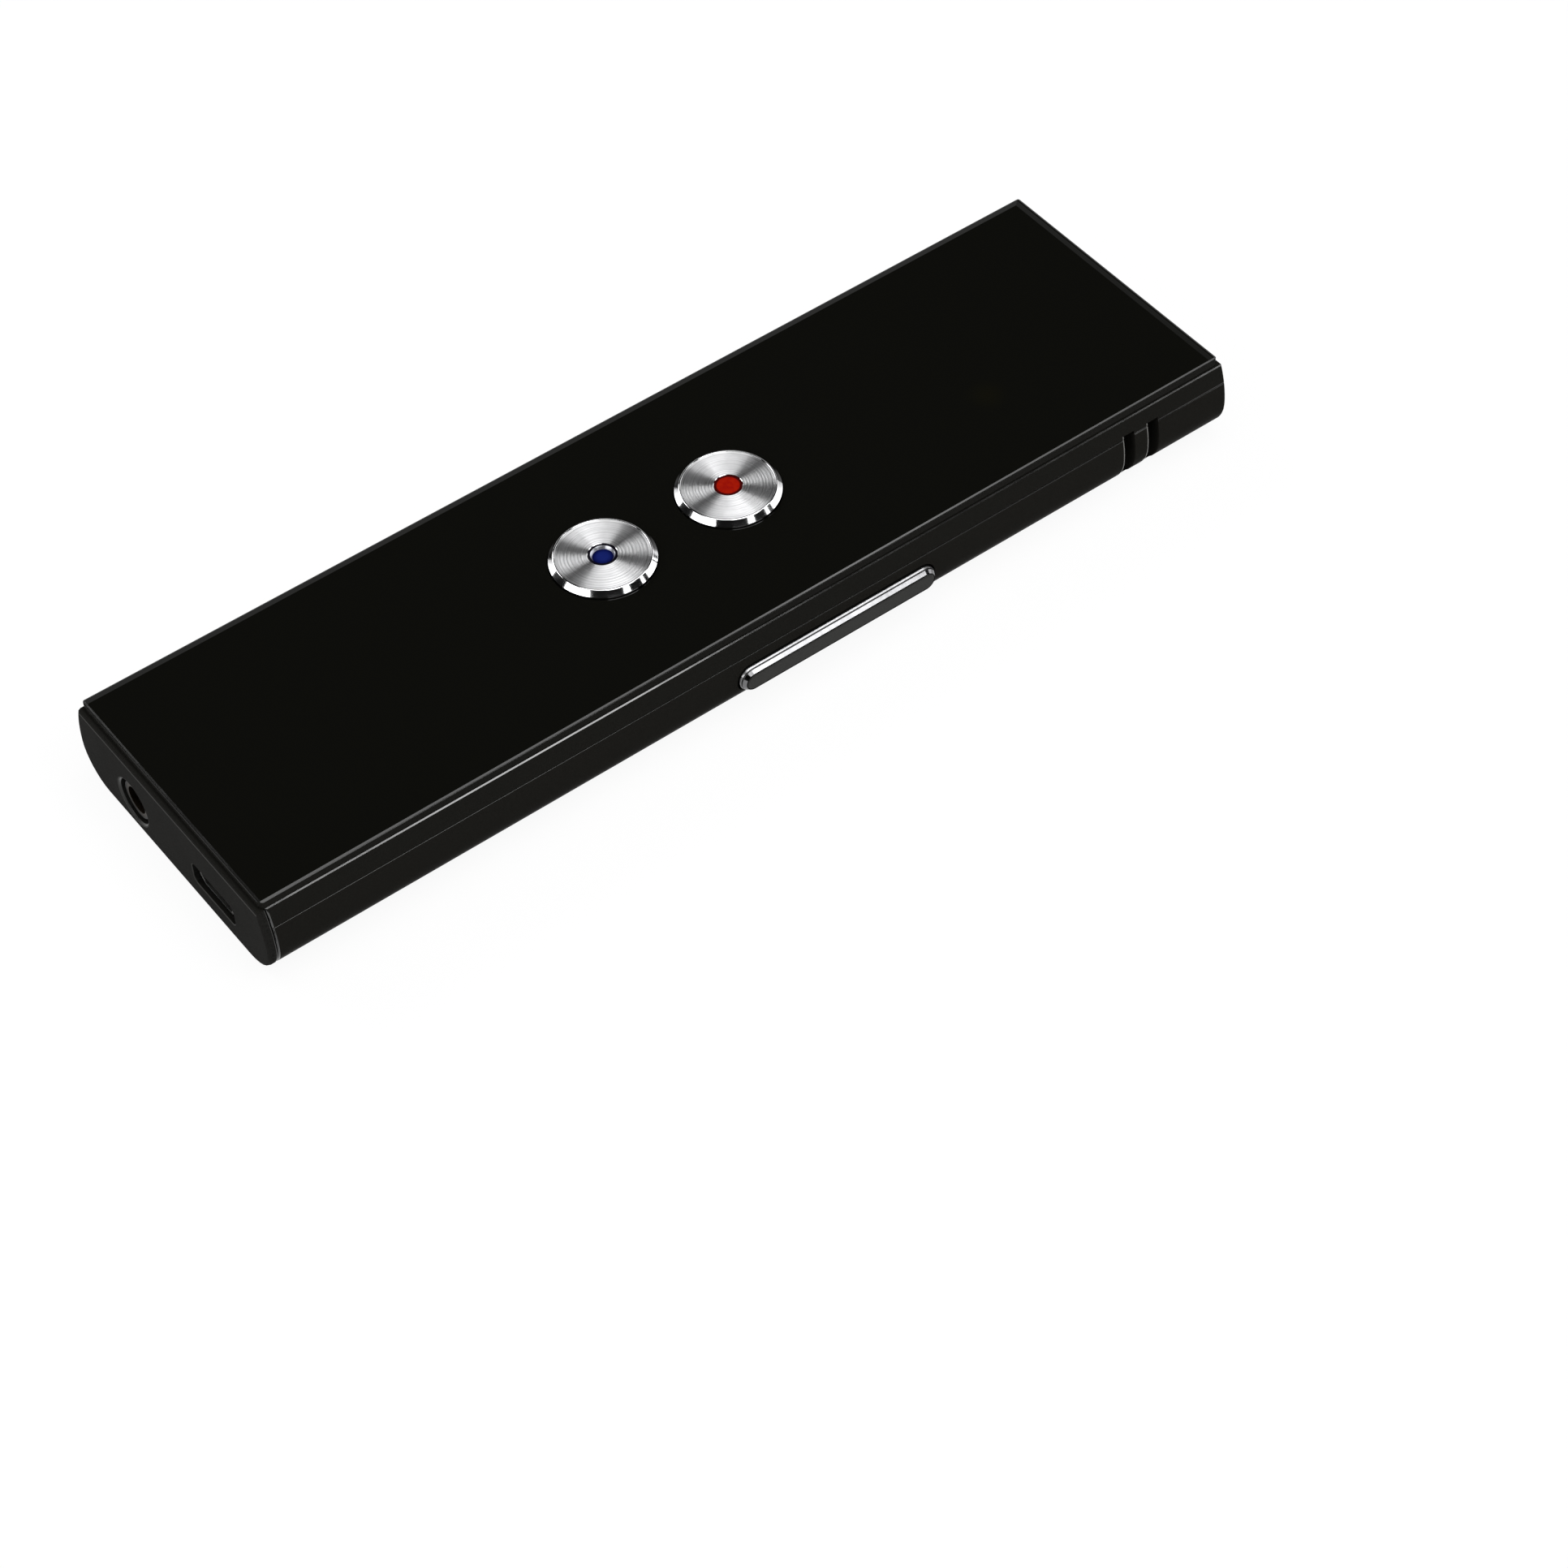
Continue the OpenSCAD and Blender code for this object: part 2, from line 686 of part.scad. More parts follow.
// Gloss panel: bevelled along all four upper edges, with a hole for each button
module top_panel() {
    low_z = panel_t - panel_bevel_h;
    lip_z = panel_t - panel_bevel_h + panel_lip[1];
    bevel_outline = function(half) [
        [-half, 0], [half, 0], [half, low_z], [half - panel_lip[0], lip_z], [half - panel_bevel, panel_t],
        [panel_bevel - half, panel_t], [panel_lip[0] - half, lip_z], [-half, low_z]
    ];
    color("#0a0a0a")
        translate([0, 0, rim_z])
            difference() {
                intersection() {
                    linear_extrude(panel_t)
                        translate([0, panel_mid_y]) round_rect([panel_w, panel_l], panel_corner_r);
                    rotate([90, 0, 0])
                        linear_extrude(body_l, center = true) polygon(bevel_outline(panel_w / 2));
                    translate([0, panel_mid_y, 0]) rotate([90, 0, 90])
                        linear_extrude(body_w, center = true) polygon(bevel_outline(panel_l / 2));
                }
                at_buttons() translate([0, 0, -CUT]) cylinder(h = panel_t + 2 * CUT, r = cap_r + cap_gap);
            }
}

module panel_tape() {
    color("#303030")
        translate([0, 0, frame_top_z])
            linear_extrude(tape_t)
                difference() {
                    translate([0, panel_mid_y])
                        square([panel_w - 2 * tape_inset, panel_l - 2 * tape_inset], center = true);
                    at_buttons() circle(r = cap_r + cap_gap + tape_ring);
                    translate([light_x, light_y]) circle(r = guide_foot_r);
                }
}

// ---------------------------------------------------------- round buttons

// Turned metal cap: polished bevel, raised lip round the spun face, bore for the insert
module button_cap(insert_r) {
    cap_z = flange_top_z;
    roof_z = cap_top_z - cap_roof;
    outline = [
        [insert_r, roof_z], [insert_r, cap_top_z - face_lip_h], [face_r - face_lip_w, cap_top_z - face_lip_h],
        [face_r - face_lip_w, cap_top_z], [face_r, cap_top_z], [cap_r, cap_top_z - cap_bevel_h],
        [cap_r, cap_z], [cap_r - cap_wall, cap_z], [cap_r - cap_wall, roof_z]
    ];
    rotate_extrude() polygon(outline);
}

// Plug through the cap's roof: a flat one, or one with a dished top inside a narrow rim
module button_insert(insert_r, dish) {
    foot_z = cap_top_z - insert_l;
    flat_z = cap_top_z - face_lip_h - insert_sink;
    floor_r = insert_r - lens_rim_w - lens_wall_w;
    difference() {
        translate([0, 0, foot_z]) cylinder(h = flat_z - foot_z, r = insert_r);
        if (dish > 0) {
            translate([0, 0, flat_z - dish])
                cylinder(h = dish, r1 = floor_r, r2 = insert_r - lens_rim_w);
            translate([0, 0, flat_z - EPS]) cylinder(h = CUT, r = insert_r - lens_rim_w);
        }
    }
}

// Carrier: core inside the cap, flange that stops under the deck, pin on the switch, tab
module button_carrier(insert_r) {
    difference() {
        union() {
            translate([0, 0, flange_z]) cylinder(h = flange_t, r = flange_r);
            translate([0, 0, flange_top_z - EPS])
                cylinder(h = carrier_core_h, r = cap_r - cap_wall - fit_gap);
            translate([0, 0, stem_top_z]) cylinder(h = flange_z - stem_top_z + EPS, r = carrier_pin_r);
            translate([-flange_r - tab_l, -tab_w / 2, flange_z]) cube([flange_r, tab_w, flange_t]);
        }
        translate([0, 0, flange_top_z]) cylinder(h = body_t, r = insert_r + fit_gap);
    }
}

module switch_stem() {
    translate([0, 0, board_top_z + switch_h - stem_in]) cylinder(h = stem_in + stem_proud, r = stem_r);
}

module button_cap_red() {
    color("#c8c8c8") translate([0, red_y, 0]) button_cap(red_insert_r);
}

module button_cap_blue() {
    color("#c8c8c8") translate([0, blue_y, 0]) button_cap(blue_lens_r);
}

module button_insert_red() {
    color("#b01010") translate([0, red_y, 0]) button_insert(red_insert_r, 0);
}

module button_lens_blue() {
    color("#101a70") translate([0, blue_y, 0]) button_insert(blue_lens_r, lens_dish);
}

module button_carrier_red() {
    color("#2a2a2a") translate([0, red_y, 0]) button_carrier(red_insert_r);
}

module button_carrier_blue() {
    color("#2a2a2a") translate([0, blue_y, 0]) button_carrier(blue_lens_r);
}

module switch_stem_red() {
    color("#e0d8c0") translate([0, red_y, 0]) switch_stem();
}

module switch_stem_blue() {
    color("#e0d8c0") translate([0, blue_y, 0]) switch_stem();
}

// Two push switches on the board, each with a well for its stem and four feet
module button_switches() {
    well_h = stem_in + button_travel + well_spare;
    color("#b8b8b8")
        at_buttons()
            difference() {
                union() {
                    translate([-switch_w / 2, -switch_w / 2, board_top_z])
                        cube([switch_w, switch_w, switch_h]);
                    for (side = [-1, 1])
                        translate([0, side * switch_foot_y, board_top_z + switch_foot[2] / 2])
                            cube(switch_foot, center = true);
                }
                translate([0, 0, board_top_z + switch_h - well_h])
                    cylinder(h = well_h + CUT, r = stem_r + stem_fit);
            }
}

// --------------------------------------------------------------- side key

module side_key() {
    color("#9a9a9a") translate([0, key_y, key_z]) pill_x(key_l, key_h, key_back_x, key_face_x, key_bevel);
}

// Carrier behind the key: pad, plate with overlapping ends, hub on the pin, two nubs
module side_key_carrier() {
    color("#2a2a2a")
        translate([0, key_y, key_z])
            difference() {
                union() {
                    pill_x(key_l - 2 * pad_inset, key_h - 2 * pad_inset, plate_face_x - EPS, key_back_x);
                    translate([plate_back_x, -plate_half_l, -plate_h / 2])
                        cube([plate_t, 2 * plate_half_l, plate_h]);
                    translate([key_hub_x, 0, -key_hub_h / 2]) cylinder(h = key_hub_h, r = key_hub_r);
                    for (side = [-1, 1])
                        translate([plate_back_x - nub_l, side * nub_reach, 0]) rotate([0, 90, 0])
                            cylinder(h = nub_l + EPS, r = nub_r);
                }
                translate([key_hub_x, 0, -key_z]) cylinder(h = body_t, r = key_pin_r + key_pin_fit);
            }
}

module side_key_pin() {
    reach = key_hub_h / 2 + fit_gap + key_pin_end - 2 * EPS;
    color("#c0c0c0") translate([key_hub_x, key_y, key_z - reach]) cylinder(h = 2 * reach, r = key_pin_r);
}

module side_switches() {
    color("#b8b8b8")
        for (side = [-1, 1])
            translate([side_switch_x, key_y + side * nub_reach, 0]) {
                translate([0, -side_switch[1] / 2, board_z - side_switch[2]]) cube(side_switch);
                translate([side_switch[0] - EPS, 0, board_z - side_switch[2] / 2]) rotate([0, 90, 0])
                    cylinder(h = side_stem_l + EPS, r = side_stem_r);
            }
}

// ------------------------------------------------------------ electronics

module main_board() {
    board_l = board_far_y - board_near_y;
    key_notch_l = 2 * (plate_half_l + board_clear);
    jack_notch_w = jack_body[0] + 2 * board_clear;
    jack_notch_y = jack_front_y + jack_body[1] + board_clear;
    boss_cut_r = boss_r + board_clear;
    color("#0e4a2a")
        translate([0, 0, board_z])
            linear_extrude(board_t)
                difference() {
                    translate([0, (board_near_y + board_far_y) / 2]) round_rect([board_w, board_l], 1);
                    translate([board_key_x, key_y - key_notch_l / 2]) square([body_w, key_notch_l]);
                    at_case_screws() circle(r = boss_cut_r);
                    for (side = [0, 1], y = screw_ys)
                        mirror([side, 0]) translate([screw_x, y - boss_cut_r])
                            square([body_w, 2 * boss_cut_r]);
                    translate([jack_x - jack_notch_w / 2, near_y])
                        square([jack_notch_w, jack_notch_y - near_y]);
                    at_board_screws() circle(r = board_screw_r + fit_gap);
                }
}

// Charger, memory, radio module and aerial on the board, and the processor under the can
module circuit_chips() {
    chips = [
        [0, can_y, processor],
        [usb_x, board_near_y + charger_inset, charger_chip],
        [0, board_near_y + memory_inset, memory_chip],
        [radio_x, board_far_y - radio_inset, radio_module],
        [aerial_x, board_far_y - aerial_inset, aerial]
    ];
    color("#202020")
        for (c = chips)
            translate([c[0] - c[2][0] / 2, c[1] - c[2][1] / 2, board_top_z]) cube(c[2]);
}

module shield_can() {
    color("#b0b0b0")
        translate([0, can_y, board_top_z])
            difference() {
                linear_extrude(can[2]) round_rect([can[0], can[1]], can_corner_r);
                translate([0, 0, -CUT]) linear_extrude(can[2] - can_sheet_t + CUT)
                    round_rect(
                        [can[0] - 2 * can_sheet_t, can[1] - 2 * can_sheet_t],
                        can_corner_r - can_sheet_t
                    );
            }
}

// Pouch cell with soft long edges
module battery_cell() {
    color("#a8acb4")
        translate([cell_x, cell_y + cell_l / 2, cell_z + cell_t / 2]) rotate([90, 0, 0])
            linear_extrude(cell_l) round_rect([cell_w, cell_t], cell_edge_r);
}

module battery_tape() {
    color("#e8e8e0")
        translate([cell_x - cell_w / 4, cell_y - cell_l / 3, wall])
            cube([cell_w / 2, 2 * cell_l / 3, cell_tape_t]);
}

module battery_leads() {
    color("#c02020")
        for (i = [0, 1]) {
            x = cell_left_x + cell_lead_inset + cell_lead_pitch * i;
            y = cell_y + cell_l / 2;
            z = cell_z + cell_t / 2;
            lead([[x, y, z], [x, y + cell_lead_run, z], [x, y + cell_lead_run, board_z]]);
        }
}

// Loudspeaker, face down on its gasket: a wide basket with a smaller magnet on top
module speaker_basket() {
    color("#6a6a6a")
        at_speaker() translate([0, 0, spk_z])
            difference() {
                union() {
                    cylinder(h = spk_flange_h, r = speaker_r);
                    cylinder(h = speaker_t, r = magnet_r);
                }
                translate([0, 0, -EPS]) cylinder(h = spk_flange_h - 0.4, r = speaker_r - 0.9);
            }
}

// Paper cone: a shallow funnel with a dust cap, rim on the basket's inside
module speaker_cone() {
    rim_r = speaker_r - 0.9;
    paper_t = 0.15;
    color("#181818")
        at_speaker() translate([0, 0, spk_z])
            rotate_extrude()
                polygon([
                    [0, 0.9], [2, 1.3], [rim_r - 1, 0.3], [rim_r, 0.3],
                    [rim_r, 0.3 + paper_t], [rim_r - 1, 0.3 + paper_t], [2, 1.3 + paper_t], [0, 0.9 + paper_t]
                ]);
}

module speaker_gasket() {
    color("#202020")
        at_speaker() translate([0, 0, wall + mesh_t]) tube(speaker_r, speaker_r - gasket_w, gasket_t);
}

module speaker_mesh() {
    color("#404040") at_speaker() translate([0, 0, wall]) cylinder(h = mesh_t, r = speaker_r);
}

module speaker_leads() {
    start_z = spk_z + spk_flange_h + lead_r;
    board_lead_z = board_top_z + lead_r;
    color("#202020")
        for (side = [-1, 1])
            lead([
                [side * spk_lead_x, spk_y - magnet_r - spk_lead_gap, start_z],
                [side * spk_lead_x, spk_y - magnet_r - 2 * spk_lead_gap, board_lead_z],
                [side * spk_lead_x, board_far_y - solder_inset, board_lead_z]
            ]);
}

module microphone() {
    color("#c0c0c0")
        translate([mic_x, boot_front_y - boot_t - mic_t, mic_z]) rotate([-90, 0, 0])
            cylinder(h = mic_t, r = mic_r);
}

// Rubber cup round the microphone, with a sound hole towards the far wall
module microphone_boot() {
    color("#101010")
        translate([mic_x, boot_front_y, mic_z]) rotate([90, 0, 0])
            difference() {
                cylinder(h = boot_t + mic_t, r = mic_r + boot_t);
                translate([0, 0, -CUT]) cylinder(h = boot_t + 2 * CUT, r = mic_hole_r);
                translate([0, 0, boot_t]) cylinder(h = mic_t + CUT, r = mic_r);
            }
}

// Two leads, one above the other, between the loudspeaker's ring and the screw boss
module microphone_leads() {
    back_y = boot_front_y - boot_t - mic_t;
    color("#e0e0e0")
        for (i = [0, 1]) {
            z = mic_z + (0.5 - i) * mic_lead_pitch;
            end_y = board_far_y - solder_inset - 1.3 * i * mic_lead_pitch;
            lead([[mic_x, back_y, z], [mic_x, end_y, z], [mic_x, end_y, board_z]]);
        }
}

// Outline of the charging socket's shell, shrunk by inset: narrower along its lower side
module usb_outline(inset) {
    half_w = usb_shell[0] / 2 - inset;
    half_h = usb_shell[2] / 2 - inset;
    cut = 0.9;
    polygon([
        [-half_w, half_h], [half_w, half_h], [half_w, cut - half_h], [half_w - cut, -half_h],
        [cut - half_w, -half_h], [-half_w, cut - half_h]
    ]);
}

module usb_socket_shell() {
    front_y = near_y + usb_set_back;
    color("#c4c4c4")
        translate([usb_x, front_y + usb_shell[1], port_z]) rotate([90, 0, 0])
            difference() {
                linear_extrude(usb_shell[1]) usb_outline(0);
                translate([0, 0, usb_sheet_t]) linear_extrude(usb_shell[1]) usb_outline(usb_sheet_t);
            }
}

module usb_socket_tongue() {
    back_y = near_y + usb_set_back + usb_shell[1] - usb_sheet_t;
    color("#1a1a1a")
        translate([usb_x - usb_tongue[0] / 2, back_y - usb_tongue[1], port_z + 0.1]) cube(usb_tongue);
}

module headphone_socket() {
    front_y = near_y + jack_set_back;
    color("#151515")
        difference() {
            union() {
                translate([jack_x - jack_body[0] / 2, jack_front_y, port_z - jack_body[2] / 2])
                    cube(jack_body);
                translate([jack_x, front_y, port_z]) rotate([-90, 0, 0])
                    cylinder(h = jack_front_y - front_y + EPS, r = jack_barrel_r);
            }
            translate([jack_x, front_y - CUT, port_z]) rotate([-90, 0, 0]) {
                cylinder(h = jack_bore_l + CUT, r = jack_bore_r);
                cylinder(h = bush_l + CUT, r = jack_bore_r + bush_wall);
            }
        }
}

// Metal lining of the headphone socket's mouth
module headphone_bush() {
    color("#b09a60")
        translate([jack_x, near_y + jack_set_back, port_z]) rotate([-90, 0, 0])
            tube(jack_bore_r + bush_wall, jack_bore_r, bush_l);
}

module status_light() {
    color("#d8d890")
        translate([light_x - light[0] / 2, light_y - light[1] / 2, board_top_z]) cube(light);
}

module light_guide() {
    color("#d0e0d0")
        translate([light_x, light_y, 0]) {
            translate([0, 0, deck_z - EPS]) cylinder(h = deck_t + EPS, r = guide_r);
            translate([0, 0, deck_z - guide_foot_h]) cylinder(h = guide_foot_h, r = guide_foot_r);
        }
}

module case_screws() {
    color("#505050")
        at_case_screws() translate([0, 0, screw_seat_z]) screw(screw_r, screw_l, screw_head_r, screw_head_h);
}

module board_screws() {
    color("#909090")
        at_board_screws()
            translate([0, 0, board_top_z])
                screw(board_screw_r, board_screw_l, board_screw_head_r, board_screw_head_h);
}

rear_shell();
front_frame();
end_cap();
top_panel();
panel_tape();
button_cap_red();
button_cap_blue();
button_insert_red();
button_lens_blue();
button_carrier_red();
button_carrier_blue();
switch_stem_red();
switch_stem_blue();
button_switches();
side_key();
side_key_carrier();
side_key_pin();
side_switches();
main_board();
circuit_chips();
shield_can();
battery_cell();
battery_tape();
battery_leads();
speaker_basket();
speaker_cone();
speaker_gasket();
speaker_mesh();
speaker_leads();
microphone();
microphone_boot();
microphone_leads();
usb_socket_shell();
usb_socket_tongue();
headphone_socket();
headphone_bush();
status_light();
light_guide();
case_screws();
board_screws();
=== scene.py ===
"""Looks of the handheld translator: camera, studio light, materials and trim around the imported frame.

Lengths in named values are in millimetres, and MM turns them into Blender's metres.
"""

import math

import bmesh
import bpy
from mathutils import Matrix, Vector


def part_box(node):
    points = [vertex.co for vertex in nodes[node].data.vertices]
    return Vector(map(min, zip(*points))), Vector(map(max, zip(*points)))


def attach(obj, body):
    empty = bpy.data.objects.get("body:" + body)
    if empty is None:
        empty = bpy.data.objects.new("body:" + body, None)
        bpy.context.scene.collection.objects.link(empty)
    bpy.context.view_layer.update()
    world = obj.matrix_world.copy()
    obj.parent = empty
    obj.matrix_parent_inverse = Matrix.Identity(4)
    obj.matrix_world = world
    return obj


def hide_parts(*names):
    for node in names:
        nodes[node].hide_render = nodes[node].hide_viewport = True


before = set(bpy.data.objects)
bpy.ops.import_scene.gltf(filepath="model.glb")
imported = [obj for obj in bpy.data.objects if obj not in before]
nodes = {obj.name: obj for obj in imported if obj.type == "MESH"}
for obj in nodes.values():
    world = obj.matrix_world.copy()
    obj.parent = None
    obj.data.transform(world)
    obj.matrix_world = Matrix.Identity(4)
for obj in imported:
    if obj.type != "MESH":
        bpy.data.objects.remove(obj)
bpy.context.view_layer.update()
scene = bpy.context.scene
MM = 0.001


# ---------------------------------------------------------------- camera

CAMERA_AT = (0.27624, -0.1796, 0.34294)
CAMERA_RIGHT = Vector((0.6036953, 0.7966470, -0.0300927))
CAMERA_DOWN = Vector((0.5897913, -0.4717010, -0.6554727))
CAMERA_FORWARD = Vector((-0.5363750, 0.3779574, -0.7546191))

camera = bpy.data.objects.new("camera", bpy.data.cameras.new("camera"))
scene.collection.objects.link(camera)
axes = (CAMERA_RIGHT, -CAMERA_DOWN, -CAMERA_FORWARD)
turn = Matrix([[axis[row] for axis in axes] for row in range(3)])
camera.matrix_world = Matrix.Translation(CAMERA_AT) @ turn.to_4x4()
camera.data.sensor_width = 36
camera.data.lens = 90.07
camera.data.clip_start = 0.01
camera.data.clip_end = 20
scene.camera = camera
scene.view_settings.view_transform = "Standard"


# ---------------------------------------------------------------- node trees


class Look:
    """A Principled material and the few nodes that its detail is made of. Sizes are in metres."""

    def __init__(self, name, color, roughness, metallic=0.0, specular=0.5, **sockets):
        self.mat = bpy.data.materials.new(name)
        self.mat.use_nodes = True
        self.tree = self.mat.node_tree
        self.bsdf = self.tree.nodes["Principled BSDF"]
        self.set(self.bsdf, "Base Color", (*color, 1))
        self.set(self.bsdf, "Roughness", roughness)
        self.set(self.bsdf, "Metallic", metallic)
        self.set(self.bsdf, "Specular IOR Level", specular)
        for socket, value in sockets.items():
            self.set(self.bsdf, socket.replace("_", " "), value)
        self.place = self.node("ShaderNodeTexCoord").outputs["Object"]

    def set(self, node, socket, value):
        node.inputs[socket].default_value = value

    def node(self, kind, **settings):
        made = self.tree.nodes.new(kind)
        for key, value in settings.items():
            setattr(made, key, value)
        return made

    def link(self, a, b):
        self.tree.links.new(a, b)

    def at(self, centre=(0, 0, 0), stretch=(1, 1, 1)):
        """The point's place measured from centre, scaled along each axis."""
        moved = self.node("ShaderNodeVectorMath", operation="SUBTRACT")
        self.link(self.place, moved.inputs[0])
        moved.inputs[1].default_value = centre
        scaled = self.node("ShaderNodeVectorMath", operation="MULTIPLY")
        self.link(moved.outputs[0], scaled.inputs[0])
        scaled.inputs[1].default_value = stretch
        return scaled.outputs[0]

    def noise(self, size, detail=2.0, rough=0.5, place=None):
        made = self.node("ShaderNodeTexNoise")
        self.set(made, "Scale", 1 / size)
        self.set(made, "Detail", detail)
        self.set(made, "Roughness", rough)
        self.link(place or self.place, made.inputs["Vector"])
        return made.outputs["Fac"]

    def cells(self, size):
        made = self.node("ShaderNodeTexVoronoi", feature="F1")
        self.set(made, "Scale", 1 / size)
        self.link(self.place, made.inputs["Vector"])
        return made.outputs["Distance"]

    def math(self, operation, *values):
        made = self.node("ShaderNodeMath", operation=operation)
        for i, value in enumerate(values):
            if isinstance(value, (int, float)):
                made.inputs[i].default_value = value
            else:
                self.link(value, made.inputs[i])
        return made.outputs[0]

    def span(self, source, low, high, to_low, to_high, smooth=False):
        made = self.node("ShaderNodeMapRange")
        if smooth:
            made.interpolation_type = "SMOOTHSTEP"
        self.link(source, made.inputs["Value"])
        for i, value in enumerate((low, high, to_low, to_high)):
            made.inputs[i + 1].default_value = value
        return made.outputs[0]

    def mix(self, factor, a, b):
        made = self.node("ShaderNodeMix", data_type="RGBA")
        self.link(factor, made.inputs["Factor"])
        for socket, value in ((made.inputs[6], a), (made.inputs[7], b)):
            if isinstance(value, tuple):
                socket.default_value = (*value, 1)
            else:
                self.link(value, socket)
        return made.outputs[2]

    def split(self, vector):
        made = self.node("ShaderNodeSeparateXYZ")
        self.link(vector, made.inputs[0])
        return made.outputs

    def paint(self, color=None, roughness=None):
        if color is not None:
            self.link(color, self.bsdf.inputs["Base Color"])
        if roughness is not None:
            self.link(roughness, self.bsdf.inputs["Roughness"])
        return self

    def bump(self, height, depth, strength=1.0):
        made = self.node("ShaderNodeBump")
        self.set(made, "Strength", strength)
        self.set(made, "Distance", depth)
        self.link(height, made.inputs["Height"])
        last = self.bsdf.inputs["Normal"]
        if last.links:
            self.link(last.links[0].from_socket, made.inputs["Normal"])
        self.link(made.outputs[0], last)
        return self


# ---------------------------------------------------------------- materials


def moulded(name, color, roughness, specular, grain=0.12, grain_depth=0.004, sway=0.03, **sockets):
    """Moulded plastic: fine grain, slow waviness, smudges in its gloss."""
    look = Look(name, color, roughness, specular=specular, **sockets)
    smudge = look.noise(9 * MM, 4, 0.6)
    fine = look.noise(grain * MM, 2, 0.6)
    lighter = tuple(c * 1.5 + 0.001 for c in color)
    look.paint(
        look.mix(look.span(fine, 0.3, 0.8, 0, 1), color, lighter),
        look.span(smudge, 0.3, 0.75, roughness - sway, roughness + 2 * sway),
    )
    look.bump(fine, grain_depth * MM)
    look.bump(look.noise(3.5 * MM, 2), 0.02 * MM, 0.6)
    return look


def metal(name, color, roughness, sway=0.06, size=0.5, stretch=(1, 1, 1), **sockets):
    """Bare or plated metal: fine marks drawn out by stretch, smudges in its gloss."""
    look = Look(name, color, roughness, metallic=1.0, **sockets)
    marks = look.noise(size * MM, 3, 0.6, look.at(stretch=stretch))
    darker = tuple(c * 0.8 for c in color)
    look.paint(
        look.mix(look.span(marks, 0.35, 0.65, 0, 1), darker, color),
        look.span(look.noise(4 * MM, 4, 0.6), 0.3, 0.7, roughness - sway, roughness + sway),
    )
    return look.bump(marks, 0.002 * MM, 0.5)


def radius_from(look, centre):
    """Distance from an upright axis through centre, given in millimetres."""
    made = look.node("ShaderNodeVectorMath", operation="LENGTH")
    look.link(look.at((centre[0] * MM, centre[1] * MM, 0), (1, 1, 0)), made.inputs[0])
    return made.outputs["Value"]


# Places of the two buttons and the loudspeaker along the body
RED_Y, BLUE_Y, SPEAKER_Y = 8.9, -9.5, 57

# The status light shows as a faint spot through the panel
PANEL_BLACK = (0.0034, 0.0034, 0.0027)
SPOT_BLACK = (0.0044, 0.0042, 0.0025)
SPOT_AT, SPOT_R = (6.6, 43.25), 3.2
ROLL_LEFT_X, ROLL_FAR_Y, ROLL_DROP = (-18.9, -18.3), (68.3, 69.0), 0.14

gloss = Look("gloss_panel", PANEL_BLACK, 0.07, specular=0.16)
glow_spot = gloss.span(radius_from(gloss, SPOT_AT), 0.0, SPOT_R * MM, 1, 0, True)
gloss.paint(
    gloss.mix(glow_spot, PANEL_BLACK, SPOT_BLACK),
    gloss.span(gloss.noise(14 * MM, 4, 0.6), 0.3, 0.75, 0.05, 0.11),
)
gloss.bump(gloss.noise(18 * MM, 1), 0.02 * MM, 0.5)
gloss.bump(gloss.noise(0.5 * MM, 2), 0.0006 * MM, 0.4)

# The panel rolls off a little along its left side and its far end
across, along = gloss.split(gloss.place)[:2]
rolled_left = gloss.span(across, ROLL_LEFT_X[0] * MM, ROLL_LEFT_X[1] * MM, 0, 1)
rolled_end = gloss.span(along, ROLL_FAR_Y[0] * MM, ROLL_FAR_Y[1] * MM, 1, 0)
gloss.bump(gloss.math("MINIMUM", rolled_left, rolled_end), ROLL_DROP * MM)

panel_edge = moulded("panel_edge", (0.006, 0.006, 0.0055), 0.13, 0.5, grain_depth=0.0005)
frame_black = moulded("upper_frame", (0.0078, 0.0076, 0.0066), 0.24, 0.5, IOR=1.05)
rim_edge = moulded("rim_edge", (0.008, 0.008, 0.0075), 0.1, 1.0, grain_depth=0.0005)
shell_black = moulded("lower_shell", (0.009, 0.0086, 0.0075), 0.28, 0.5, IOR=1.025)
shell_edge = moulded("shell_edge", (0.012, 0.012, 0.0115), 0.25, 0.6)
# Lighter grey on the near edges of the lanyard slots: a painted highlight.
slot_edge_highlight = moulded("slot_edge_highlight", (0.08, 0.078, 0.072), 0.3, 0.5)
cap_black = moulded(
    "end_cap", (0.0112, 0.011, 0.0102), 0.5, 0.5, grain=0.16, grain_depth=0.012, IOR=1.03
)
# The cap's turned-down edge: glossier than the cap, and a lighter colour that is a painted highlight.
cap_edge_highlight = moulded("cap_edge_highlight", (0.02, 0.02, 0.019), 0.3, 0.5, IOR=1.3)
# A lighter grey round the ports' rims: a painted highlight.
port_rim_highlight = moulded("port_rim_highlight", (0.04, 0.04, 0.038), 0.5, 0.5, IOR=1.05)

# Dyed inserts with painted shade: the red one darkens towards its border as painted shade round its
# rim, the blue one towards its wall as painted shade in its recess
RED_DEEP, RED_LIGHT, RED_RIM_SHADE = (0.21, 0.003, 0.0012), (0.26, 0.007, 0.0012), (0.035, 0.001, 0.001)
RED_RIM_SHADE_R = (1.3, 1.5)
BLUE_DEEP, BLUE_WALL_SHADE = (0.006, 0.012, 0.1), (0.001, 0.0015, 0.03)
BLUE_WALL_SHADE_R = (0.5, 1.35)

